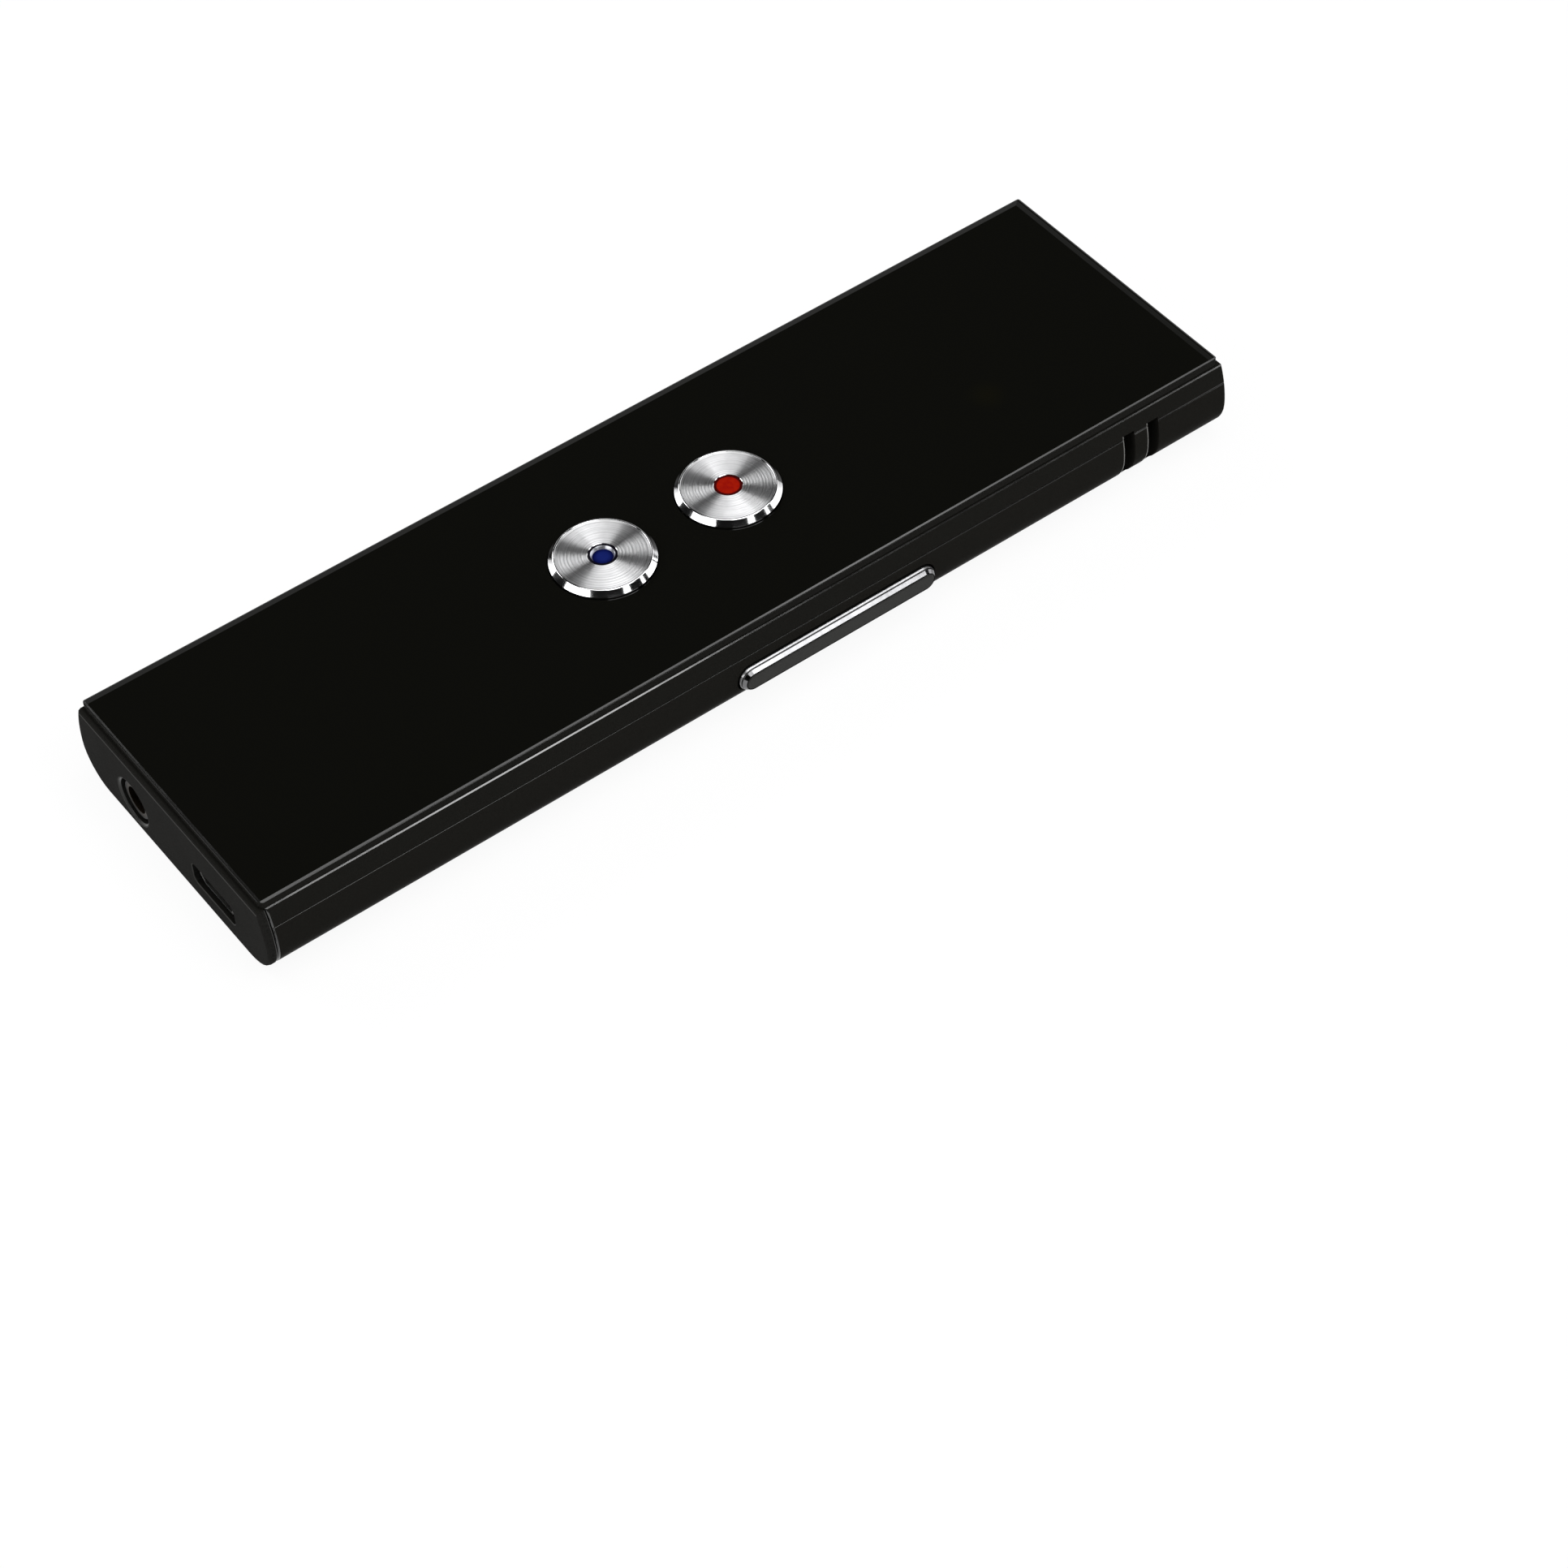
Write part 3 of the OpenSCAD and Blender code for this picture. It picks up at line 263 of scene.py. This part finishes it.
red_dye_and_shade = Look("red_insert", (0.24, 0.004, 0.0012), 0.42, specular=0.02)
red_r = radius_from(red_dye_and_shade, (0, RED_Y))
red_cloud = red_dye_and_shade.span(red_dye_and_shade.noise(0.7 * MM, 3), 0.35, 0.65, 0, 1)
red_dye_and_shade.paint(
    red_dye_and_shade.mix(
        # Painted shade: darker red towards the rim.
        red_dye_and_shade.span(red_r, RED_RIM_SHADE_R[0] * MM, RED_RIM_SHADE_R[1] * MM, 0, 1, True),
        red_dye_and_shade.mix(red_cloud, RED_DEEP, RED_LIGHT),
        RED_RIM_SHADE,
    ),
    red_dye_and_shade.span(red_dye_and_shade.noise(0.4 * MM, 3), 0.3, 0.7, 0.34, 0.5),
)
red_dye_and_shade.bump(red_dye_and_shade.noise(0.3 * MM, 2), 0.003 * MM)

blue_dye_and_shade = Look("blue_lens", (0.006, 0.014, 0.2), 0.1, specular=0.5)
blue_r = radius_from(blue_dye_and_shade, (0, BLUE_Y))
blue_dye_and_shade.paint(
    blue_dye_and_shade.mix(
        # Painted shade: darker blue towards the recess wall.
        blue_dye_and_shade.span(blue_r, BLUE_WALL_SHADE_R[0] * MM, BLUE_WALL_SHADE_R[1] * MM, 0, 1, True),
        BLUE_DEEP,
        BLUE_WALL_SHADE,
    ),
    blue_dye_and_shade.span(blue_dye_and_shade.noise(0.5 * MM, 3), 0.3, 0.7, 0.06, 0.14),
)
blue_ring = moulded("blue_ring", (0.002, 0.0015, 0.004), 0.16, 0.3)


def circuit_board():
    """Green mask over copper runs, with tinned pads."""
    look = Look("circuit_board", (0.01, 0.05, 0.02), 0.35)
    runs = look.node("ShaderNodeTexVoronoi", feature="DISTANCE_TO_EDGE", distance="MANHATTAN")
    look.link(look.place, runs.inputs["Vector"])
    look.set(runs, "Scale", 1 / (1.9 * MM))
    copper = look.span(runs.outputs["Distance"], 0.03, 0.06, 1, 0)
    pads = look.span(look.cells(1.3 * MM), 0.12, 0.16, 1, 0)
    masked = look.mix(copper, (0.006, 0.035, 0.014), (0.014, 0.075, 0.028))
    look.paint(look.mix(pads, masked, (0.45, 0.45, 0.42)), look.span(pads, 0, 1, 0.4, 0.28))
    return look.bump(copper, 0.01 * MM)


def woven_mesh():
    """Fine dust cloth: threads that cross along X and Y."""
    look = Look("dust_mesh", (0.01, 0.01, 0.01), 0.6)
    parts = look.split(look.place)
    turns = 2 * math.pi / (0.22 * MM)
    threads = [look.math("SINE", look.math("MULTIPLY", part, turns)) for part in parts[:2]]
    weave = look.math("MULTIPLY", *threads)
    look.paint(look.mix(look.span(weave, -1, 1, 0, 1), (0.003, 0.003, 0.003), (0.03, 0.03, 0.03)))
    return look.bump(weave, 0.03 * MM)


def pouch_foil():
    """Aluminium laminate with soft creases."""
    look = metal("cell_foil", (0.62, 0.63, 0.64), 0.38, 0.08, 3.0)
    return look.bump(look.noise(6 * MM, 5, 0.7), 0.12 * MM, 0.8)


def speaker_paper():
    """Pressed paper cone with rings round its axis."""
    look = Look("cone_paper", (0.02, 0.02, 0.02), 0.8, specular=0.2)
    turns = 2 * math.pi / (0.9 * MM)
    rings = look.math("SINE", look.math("MULTIPLY", radius_from(look, (0, SPEAKER_Y)), turns))
    fibre = look.noise(0.25 * MM, 4, 0.7)
    look.paint(look.mix(look.span(fibre, 0.3, 0.7, 0, 1), (0.012, 0.012, 0.012), (0.035, 0.034, 0.032)))
    return look.bump(fibre, 0.02 * MM).bump(rings, 0.05 * MM)


SLOTS = {
    "lower_shell": shell_black,
    "upper_frame": frame_black,
    "end_cap": cap_black,
    "gloss_panel": gloss,
    "tape": moulded("tape", (0.012, 0.012, 0.012), 0.75, 0.2, grain=0.3, grain_depth=0.02),
    "red_plastic": red_dye_and_shade,
    "blue_plastic": blue_dye_and_shade,
    "inner_plastic": moulded("inner_plastic", (0.012, 0.012, 0.012), 0.5, 0.3),
    "switch_stem": moulded("switch_stem", (0.55, 0.5, 0.4), 0.45, 0.4),
    "switch_body": moulded("switch_body", (0.02, 0.02, 0.02), 0.5, 0.3),
    "key_metal": metal("key_metal", (0.6, 0.6, 0.61), 0.35),
    "steel_pin": metal("steel_pin", (0.55, 0.55, 0.55), 0.25, stretch=(4, 4, 0.3)),
    "circuit_board": circuit_board(),
    "chip_black": moulded("chip_black", (0.012, 0.012, 0.013), 0.55, 0.3, grain=0.2, grain_depth=0.01),
    "can_metal": metal("can_metal", (0.66, 0.65, 0.62), 0.34, stretch=(0.3, 3, 1)),
    "cell_foil": pouch_foil(),
    "lead_red": moulded("lead_red", (0.45, 0.012, 0.01), 0.35, 0.5, grain=0.3),
    "lead_black": moulded("lead_black", (0.012, 0.012, 0.012), 0.35, 0.5, grain=0.3),
    "speaker_metal": metal("speaker_metal", (0.4, 0.4, 0.4), 0.32),
    "cone_paper": speaker_paper(),
    "dark_rubber": moulded("dark_rubber", (0.01, 0.01, 0.01), 0.7, 0.2, grain=0.3, grain_depth=0.01),
    "dust_mesh": woven_mesh(),
    "socket_metal": metal("socket_metal", (0.32, 0.32, 0.31), 0.3, stretch=(0.4, 2, 2)),
    "socket_plastic": moulded("socket_plastic", (0.004, 0.004, 0.004), 0.5, 0.2),
    "bush_metal": metal("bush_metal", (0.022, 0.016, 0.01), 0.5, stretch=(3, 0.4, 3)),
    "light_lens": moulded("light_lens", (0.6, 0.62, 0.55), 0.12, 0.5, Transmission_Weight=0.8),
    "screw_black": metal("screw_black", (0.05, 0.05, 0.05), 0.35),
    "screw_steel": metal("screw_steel", (0.5, 0.5, 0.49), 0.3),
}
for obj in nodes.values():
    made_of = SLOTS.get(obj.data.materials[0].name.split(".")[0])
    if made_of:
        obj.data.materials[0] = made_of.mat


# ---------------------------------------------------------------- pieces


def finish_mesh(name, bm, looks, body, replaced, sharp=25):
    """Turns a bmesh in metres into a piece that rides on a body and replaces a CAD node."""
    bmesh.ops.dissolve_degenerate(bm, dist=1e-8, edges=bm.edges)
    mesh = bpy.data.meshes.new(name)
    bm.to_mesh(mesh)
    bm.free()
    for look in looks:
        mesh.materials.append(look.mat)
    mesh.polygons.foreach_set("use_smooth", [True] * len(mesh.polygons))
    mesh.set_sharp_from_angle(angle=math.radians(sharp))
    obj = bpy.data.objects.new(name, mesh)
    scene.collection.objects.link(obj)
    flat = obj.modifiers.new("flat", "WEIGHTED_NORMAL")
    flat.keep_sharp = True
    flat.weight = 100
    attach(obj, body)
    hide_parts(replaced)


# Outline of the body across its length, in millimetres
BODY_L, BODY_W, LOWER_R, SIDE_R = 140.0, 41.1, 5.2, 15.6
CORNER_X = BODY_W / 2 - LOWER_R
SEAM_LOW_Z, SEAM_HIGH_Z, RIM_Z, RIM_X = 8.45, 8.55, 11.05, 19.2
CASE_NEAR_Y, CAP_IN_Y, PANEL_TOP = -68.85, -68.95, 12.3
SLOT_NEAR, SLOT_FAR = (53.95, 57.75), (55.45, 59.25)
SPEAKER_R = 8
SKIN = 0.12
SHARP_TURN = math.radians(20)
KEY_Y, KEY_Z, KEY_L, KEY_H = 9.35, 5.2, 29.0, 3.45


def depth_in(p):
    """How far a point lies inside the body's outline."""
    x = abs(p.x)
    if p.z >= LOWER_R:
        return SIDE_R - math.hypot(x - (BODY_W / 2 - SIDE_R), p.z - LOWER_R)
    if x > CORNER_X:
        return LOWER_R - math.hypot(x - CORNER_X, LOWER_R - p.z)
    return p.z


def on_skin(p, far=True):
    """Whether a point lies on the outside, with or without the far end face."""
    return depth_in(p) < SKIN or (far and p.y > BODY_L / 2 - SKIN)


def close(value, *places):
    return any(abs(value - place) < 0.03 for place in places)


def panel_rim(p):
    """The border of the panel's top, and none of its openings."""
    return p.z > PANEL_TOP - 0.01 and max(abs(p.x), abs(p.y) - 50) > 15


def near_edge(p):
    """Where a casing half meets the end cap."""
    return close(p.y, CASE_NEAR_Y) and on_skin(p, False)


def lanyard_slot(p, places):
    return p.x > 18 and close(p.y, *places) and on_skin(p, False)


def key_window(p):
    return p.x > 19 and abs(p.y - KEY_Y) < KEY_L / 2 + 0.5 and p.z < 7.3 and on_skin(p, False)


def speaker_slot(p):
    return p.z < 0.03 and p.y > 45 and math.hypot(p.x, p.y - SPEAKER_Y) < SPEAKER_R


def recut(node, name, looks, cuts, paint=None):
    """Copies a CAD node's mesh into a piece of its own, and rounds the edges that each cut picks.

    Each cut is (pick, width in mm, segments, material, shortest edge in mm).
    """
    bm = bmesh.new()
    bm.from_mesh(nodes[node].data)
    bmesh.ops.remove_doubles(bm, verts=bm.verts, dist=1e-6)
    bmesh.ops.dissolve_limit(bm, angle_limit=math.radians(0.4), verts=bm.verts, edges=bm.edges)
    for face in bm.faces:
        face.material_index = paint(face.calc_center_median() / MM, face.normal) if paint else 0
    for pick, width, segments, material, shortest in cuts:
        edges = []
        for edge in bm.edges:
            if len(edge.link_faces) != 2 or edge.calc_face_angle(0) < SHARP_TURN:
                continue
            middle = (edge.verts[0].co + edge.verts[1].co) / (2 * MM)
            if edge.calc_length() >= shortest * MM and pick(middle):
                edges.append(edge)
        bmesh.ops.bevel(
            bm, geom=edges, offset=width * MM, offset_type="OFFSET", segments=segments, profile=0.5,
            affect="EDGES", clamp_overlap=False, material=material,
        )
    finish_mesh(name, bm, looks, "casing", node)


def panel_paint(centre, normal):
    """Gloss on the top and underneath, the edge's material on its bevel."""
    if normal.z > 0.995 or normal.z < -0.5:
        return 0
    return 1 if normal.z > 0.15 else 2


recut(
    "top_panel", "panel", [gloss, panel_edge, frame_black],
    [(panel_rim, 0.03, 2, 1, 2)],
    panel_paint,
)
recut(
    "front_frame", "upper_casing", [frame_black, rim_edge, slot_edge_highlight],
    [
        (lambda p: close(p.z, RIM_Z) and abs(p.x) > RIM_X, 0.24, 1, 1, 5),
        (lambda p: near_edge(p) and p.z < 10.9, 0.25, 3, 1, 0),
        (lambda p: close(p.z, SEAM_HIGH_Z) and on_skin(p), 0.07, 2, 1, 2),
        # The slots' near edges carry the painted highlight.
        (lambda p: lanyard_slot(p, SLOT_NEAR), 0.3, 3, 2, 0),
    ],
)
recut(
    "rear_shell", "lower_casing", [shell_black, shell_edge, slot_edge_highlight],
    [
        (near_edge, 0.25, 3, 1, 0),
        (lambda p: close(p.z, SEAM_LOW_Z) and on_skin(p), 0.09, 2, 1, 2),
        # The slots' near edges carry the painted highlight.
        (lambda p: lanyard_slot(p, SLOT_NEAR), 0.32, 3, 2, 0),
        (lambda p: lanyard_slot(p, SLOT_FAR), 0.1, 2, 0, 0),
        (key_window, 0.08, 2, 0, 0),
        (speaker_slot, 0.15, 2, 1, 0),
    ],
)


def cap_paint(centre, normal):
    """The rim's black on top, the edge's lighter material with its painted highlight where the cap
    turns down, its own black elsewhere.
    """
    if normal.z > 0.85:
        return 3
    return 1 if centre.y < -69.5 and -0.8 < normal.y < -0.45 else 0


recut(
    "end_cap", "near_cap", [cap_black, cap_edge_highlight, port_rim_highlight, frame_black],
    [
        # The cap's edge against the casing takes the painted highlight too.
        (lambda p: close(p.y, CAP_IN_Y) and on_skin(p, False), 0.12, 2, 1, 0),
        # The ports' rims take the painted highlight.
        (lambda p: p.y < -69.9 and depth_in(p) > 0.6, 0.1, 2, 2, 0),
    ],
    cap_paint,
)


def loft(bm, rings, closed=False):
    """Joins rings of points, each with the material of the band that starts at it."""
    made = [([bm.verts.new(p) for p in points], material) for points, material in rings]
    pairs = list(zip(made, made[1:] + made[:1])) if closed else list(zip(made, made[1:]))
    for (low, material), (high, _) in pairs:
        count = len(low)
        for i in range(count):
            j = (i + 1) % count
            bm.faces.new((low[i], low[j], high[j], high[i])).material_index = material
    return [ring for ring, _ in made]


def lathe(name, profile, centre_y, looks, body, replaced, closed=True, count=160):
    """Turns a profile of (radius, height, material) about a button's axis."""
    bm = bmesh.new()
    rings = []
    for r, z, material in profile:
        angles = [2 * math.pi * i / count for i in range(count)]
        rings.append(([(r * math.cos(a), centre_y + r * math.sin(a), z) for a in angles], material))
    made = loft(bm, rings, closed)
    if not closed:
        bm.faces.new(made[0]).material_index = profile[0][2]
        bm.faces.new(made[-1]).material_index = profile[-1][2]
    bmesh.ops.recalc_face_normals(bm, faces=bm.faces)
    bmesh.ops.scale(bm, vec=(MM, MM, MM), verts=bm.verts)
    finish_mesh(name, bm, looks, body, replaced)


# Spun button caps: fine grooves between the bore and a raised lip, then a polished bevel
LIP_R, CAP_R, CAP_TOP, CAP_FOOT, CAP_ROOF = 5.72, 6.5, 13.23, 9.7, 12.23
FACE_Z = CAP_TOP - 0.04
LIP = (
    (0.0, 0.04), (0.02, 0.015), (0.05, 0.0), (0.11, 0.0),
    (0.16, 0.01), (0.2, 0.03), (0.24, 0.07), (0.27, 0.12),
)
BEVEL_FOOT = 12.6
GROOVE_PITCH, GROOVE_DEPTH = 0.38, 0.02
CAP_WALL = 0.8
RED_BORE_R, BLUE_BORE_R = 1.75, 1.8
SPUN, POLISHED = 0, 1


def spun_metal(name, centre_y):
    """Aluminium turned about the button's axis: rough across the grooves, smooth along them."""
    look = Look(name, (0.82, 0.82, 0.83), 0.33, metallic=1.0, Anisotropic=1.0)
    spoke = look.at((0, centre_y * MM, 0), (1, 1, 0))
    unit = look.node("ShaderNodeVectorMath", operation="NORMALIZE")
    look.link(spoke, unit.inputs[0])
    look.link(unit.outputs[0], look.bsdf.inputs["Tangent"])
    ring = look.node("ShaderNodeTexNoise", noise_dimensions="1D")
    look.link(radius_from(look, (0, centre_y)), ring.inputs["W"])
    look.set(ring, "Scale", 1 / (0.16 * MM))
    look.set(ring, "Detail", 3)
    blotch = look.noise(1.6 * MM, 3)
    mottled = look.math("ADD", ring.outputs["Fac"], look.span(blotch, 0.3, 0.7, -0.12, 0.12))
    return look.paint(
        look.mix(look.span(mottled, 0.3, 0.7, 0, 1), (0.7, 0.7, 0.71), (0.93, 0.93, 0.94)),
        look.span(ring.outputs["Fac"], 0.3, 0.7, 0.3, 0.37),
    )


def spun_cap(name, node, body, centre_y, bore_r):
    """One button cap: bore, grooved face, lip, bevel and wall."""
    profile = [
        (bore_r, CAP_ROOF, POLISHED),
        (bore_r, FACE_Z - 0.03, POLISHED),
        (bore_r + 0.04, FACE_Z, SPUN),
    ]
    first, last = bore_r + 0.12, LIP_R - 0.04
    count = int((last - first) / GROOVE_PITCH)
    for i in range(count):
        for share, depth in ((0.0, 0.0), (0.22, 1.0), (0.5, 0.25)):
            r = first + (last - first) * (i + share) / count
            profile.append((r, FACE_Z - depth * GROOVE_DEPTH, SPUN))
    profile += [(last, FACE_Z, SPUN)]
    profile += [(LIP_R + r, CAP_TOP - drop, POLISHED) for r, drop in LIP]
    profile += [
        (CAP_R - 0.03, BEVEL_FOOT, POLISHED),
        (CAP_R, BEVEL_FOOT - 0.04, POLISHED),
        (CAP_R, CAP_FOOT, POLISHED),
        (CAP_R - CAP_WALL, CAP_FOOT, POLISHED),
        (CAP_R - CAP_WALL, CAP_ROOF, POLISHED),
    ]
    looks = [spun_metal("spun_metal_" + name, centre_y), polished]
    lathe(name, profile, centre_y, looks, body, node)


polished = metal("polished_bevel", (0.9, 0.9, 0.91), 0.09, 0.03, 0.8)
hub_wall = metal("hub_wall", (0.6, 0.61, 0.66), 0.3, 0.04, 0.4)
spun_cap("spun_cap_red", "button_cap_red", "red_button", RED_Y, RED_BORE_R)
spun_cap("spun_cap_blue", "button_cap_blue", "blue_button", BLUE_Y, BLUE_BORE_R)

# Blue hub: black ring, bright conical wall, blue floor of the recess with painted shade darkening it
# towards the wall
HUB = [
    (1.78, 11.74, 0), (1.78, 13.17, 0), (1.74, 13.2, 0), (1.52, 13.2, 0), (1.48, 13.17, 2),
    (1.27, 12.79, 1), (1.2, 12.77, 1), (0.8, 12.82, 1), (0.4, 12.85, 1), (0.1, 12.86, 1),
]
HUB_LOOKS = [blue_ring, blue_dye_and_shade, hub_wall]
lathe("blue_hub", HUB, BLUE_Y, HUB_LOOKS, "blue_button", "button_lens_blue", False, 96)

# Side key: a foot painted near-black as shade in the casing's gap, satin flank that leans in a little,
# bright cut edge, a dark groove line, dark face
KEY_FACE_X = 21.5
KEY_BEVEL = 0.5
KEY_CUT_X = KEY_FACE_X - KEY_BEVEL
FLANK, CUT, SHADE_LINE, STEP, FACE = range(5)


def pill_ring(x, inset, count=28):
    """Outline of the key at depth x, drawn in from its outside by inset."""
    radius = KEY_H / 2 - inset
    reach = (KEY_L - KEY_H) / 2
    points = []
    for side in (1, -1):
        for i in range(count + 1):
            a = math.pi * i / count
            y = KEY_Y + side * (reach + radius * math.sin(a))
            points.append((x, y, KEY_Z + side * radius * math.cos(a)))
    return points


def cut_edge_key():
    """Builds the key from rings of (depth x, inset, material of the band that starts there)."""
    back_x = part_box("side_key")[0].x / MM
    # The near-black foot, where the key sits in the casing's window, is painted shade for the gap; the
    # same colour fills the groove between the cut and the face.
    bands = [
        (back_x, 0, SHADE_LINE), (20.4, 0, SHADE_LINE), (20.58, 0.02, FLANK),
        (20.72, 0.06, FLANK), (KEY_CUT_X - 0.2, 0.09, STEP), (KEY_CUT_X, 0.15, CUT),
        (KEY_FACE_X - 0.11, KEY_BEVEL - 0.03, SHADE_LINE), (KEY_FACE_X - 0.17, KEY_BEVEL + 0.06, SHADE_LINE),
        (KEY_FACE_X - 0.1, KEY_BEVEL + 0.16, FACE), (KEY_FACE_X - 0.02, KEY_BEVEL + 0.26, FACE),
        (KEY_FACE_X, KEY_BEVEL + 0.36, FACE),
    ]
    rings = [(pill_ring(x, inset), material) for x, inset, material in bands]
    bm = bmesh.new()
    made = loft(bm, rings)
    bm.faces.new(made[0]).material_index = SHADE_LINE
    bm.faces.new(made[-1]).material_index = FACE
    bmesh.ops.recalc_face_normals(bm, faces=bm.faces)
    bmesh.ops.scale(bm, vec=(MM, MM, MM), verts=bm.verts)
    looks = [key_flank, key_cut, key_shade_line, key_step, key_face]
    finish_mesh("rocker_key", bm, looks, "rocker_key", "side_key", 20)


key_flank = metal("key_flank", (0.5, 0.5, 0.51), 0.36, 0.05, 0.4)
key_cut = metal("key_cut", (0.2, 0.2, 0.205), 0.14, 0.04, 0.6)
# Near-black plastic: painted shade on the key's foot in the casing's gap, and the groove line between
# cut and face.
key_shade_line = moulded("key_shade_line", (0.003, 0.003, 0.003), 0.4, 0.1)
key_step = metal("key_step", (0.05, 0.05, 0.05), 0.45, 0.05, 0.4)
key_face = moulded("key_face", (0.023, 0.023, 0.0215), 0.34, 0.2, IOR=1.25)
cut_edge_key()


# ---------------------------------------------------------------- stage and light

# Levels of the floor and the room, and the stretches over which the room's glow fades
FLOOR_GLOW = 0.92
ROOM = 4.0
SKY, HORIZON, HORIZON_TOP = 0.006, 0.045, (0.1, 0.2)
BACK_GLOW, BACK_AZIMUTH, BACK_SPREAD, BACK_TOP = 0.55, 142, (0.7, 0.85), (0.38, 0.47)
LAMP_AWAY = 0.9

floor_look = Look("floor", (0.86, 0.86, 0.86), 0.9, specular=0.0)
rays = floor_look.node("ShaderNodeLightPath").outputs
seen = floor_look.math("MAXIMUM", rays["Is Glossy Ray"], rays["Is Transmission Ray"])
seen = floor_look.math("MAXIMUM", rays["Is Camera Ray"], seen)
glow = floor_look.node("ShaderNodeEmission")
glow.inputs["Strength"].default_value = 1
blend = floor_look.node("ShaderNodeMixShader")
floor_look.link(floor_look.math("MULTIPLY", seen, FLOOR_GLOW), blend.inputs[0])
floor_look.link(floor_look.bsdf.outputs[0], blend.inputs[1])
floor_look.link(glow.outputs[0], blend.inputs[2])
floor_look.link(blend.outputs[0], floor_look.tree.nodes["Material Output"].inputs["Surface"])

floor_mesh = bpy.data.meshes.new("floor")
floor_mesh.from_pydata(
    [(x * ROOM, y * ROOM, 0) for x, y in ((-1, -1), (1, -1), (1, 1), (-1, 1))], [], [(0, 1, 2, 3)]
)
floor_mesh.materials.append(floor_look.mat)
floor = bpy.data.objects.new("floor", floor_mesh)
floor.location.z = -0.00005
scene.collection.objects.link(floor)

world = bpy.data.worlds.new("room")
scene.world = world
world.use_nodes = True
wt = world.node_tree
background = wt.nodes["Background"]
background.inputs["Color"].default_value = (1, 1, 1, 1)
coords = wt.nodes.new("ShaderNodeTexCoord")
parts = wt.nodes.new("ShaderNodeSeparateXYZ")
wt.links.new(coords.outputs["Generated"], parts.inputs[0])


def world_span(value, low, high, to_low, to_high):
    made = wt.nodes.new("ShaderNodeMapRange")
    made.interpolation_type = "SMOOTHSTEP"
    wt.links.new(value, made.inputs["Value"])
    for i, number in enumerate((low, high, to_low, to_high)):
        made.inputs[i + 1].default_value = number
    return made.outputs[0]


def world_math(kind, operation, *values):
    made = wt.nodes.new(kind)
    made.operation = operation
    for i, value in enumerate(values):
        wt.links.new(value, made.inputs[i])
    return made


# A faint band low round the room, and a taller glow behind the object
toward = world_math("ShaderNodeVectorMath", "DOT_PRODUCT", coords.outputs["Generated"])
back = math.radians(BACK_AZIMUTH)
toward.inputs[1].default_value = (math.cos(back), math.sin(back), 0)
glow_level = world_math(
    "ShaderNodeMath", "MULTIPLY",
    world_span(toward.outputs["Value"], *BACK_SPREAD, 0, BACK_GLOW),
    world_span(parts.outputs[2], *BACK_TOP, 1, 0),
)
sky_level = world_span(parts.outputs[2], *HORIZON_TOP, HORIZON, SKY)
level = world_math("ShaderNodeMath", "MAXIMUM", glow_level.outputs[0], sky_level)
wt.links.new(level.outputs[0], background.inputs["Strength"])


def softbox(name, azimuths, elevations, radiance):
    """Area lamp that fills a stretch of directions round the object and faces it."""
    a, e = (math.radians(sum(pair) / 2) for pair in (azimuths, elevations))
    half_a, half_e = (math.radians((pair[1] - pair[0]) / 2) for pair in (azimuths, elevations))
    away = Vector((math.cos(a) * math.cos(e), math.sin(a) * math.cos(e), math.sin(e)))
    data = bpy.data.lights.new(name, "AREA")
    data.shape = "RECTANGLE"
    data.size = 2 * LAMP_AWAY * math.cos(e) * math.tan(half_a)
    data.size_y = 2 * LAMP_AWAY * math.tan(half_e)
    data.energy = 4 * radiance * data.size * data.size_y
    lamp = bpy.data.objects.new(name, data)
    lamp.location = away * LAMP_AWAY
    lamp.rotation_mode = "QUATERNION"
    lamp.rotation_quaternion = away.to_track_quat("Z", "Y")
    lamp.visible_camera = False
    scene.collection.objects.link(lamp)
    return lamp


# Lamps as stretches of azimuth and elevation in degrees, and their radiance
SOFTBOXES = {
    "box_left": ((-114, -65), (15, 36), 2.5),
    "box_left_low": ((184, 217), (0, 12), 2.0),
    "box_back": ((178, 222), (24, 45), 3.5),
    "box_front": ((-30, 0), (38, 62), 2.4),
    "box_right": ((1, 17), (24, 62), 2.2),
    "box_right_high": ((17, 39), (40, 61), 5.2),
    "box_right_slit": ((41.5, 47.5), (13, 26), 2.2),
    "box_right_far": ((57, 74), (34, 54), 2.6),
    "box_right_low": ((57, 105), (1, 22), 1.7),
    "box_over_far": ((80, 124), (55, 66), 2.2),
}
for box_name, stretch in SOFTBOXES.items():
    softbox(box_name, *stretch)

# The lamp over the object is a disc
OVER = 2.2
overhead = softbox("box_over", (30, 70), (62, 112), OVER)
overhead.data.shape = "DISK"
overhead.data.size = overhead.data.size_y
overhead.data.energy = math.pi * OVER * overhead.data.size_y ** 2
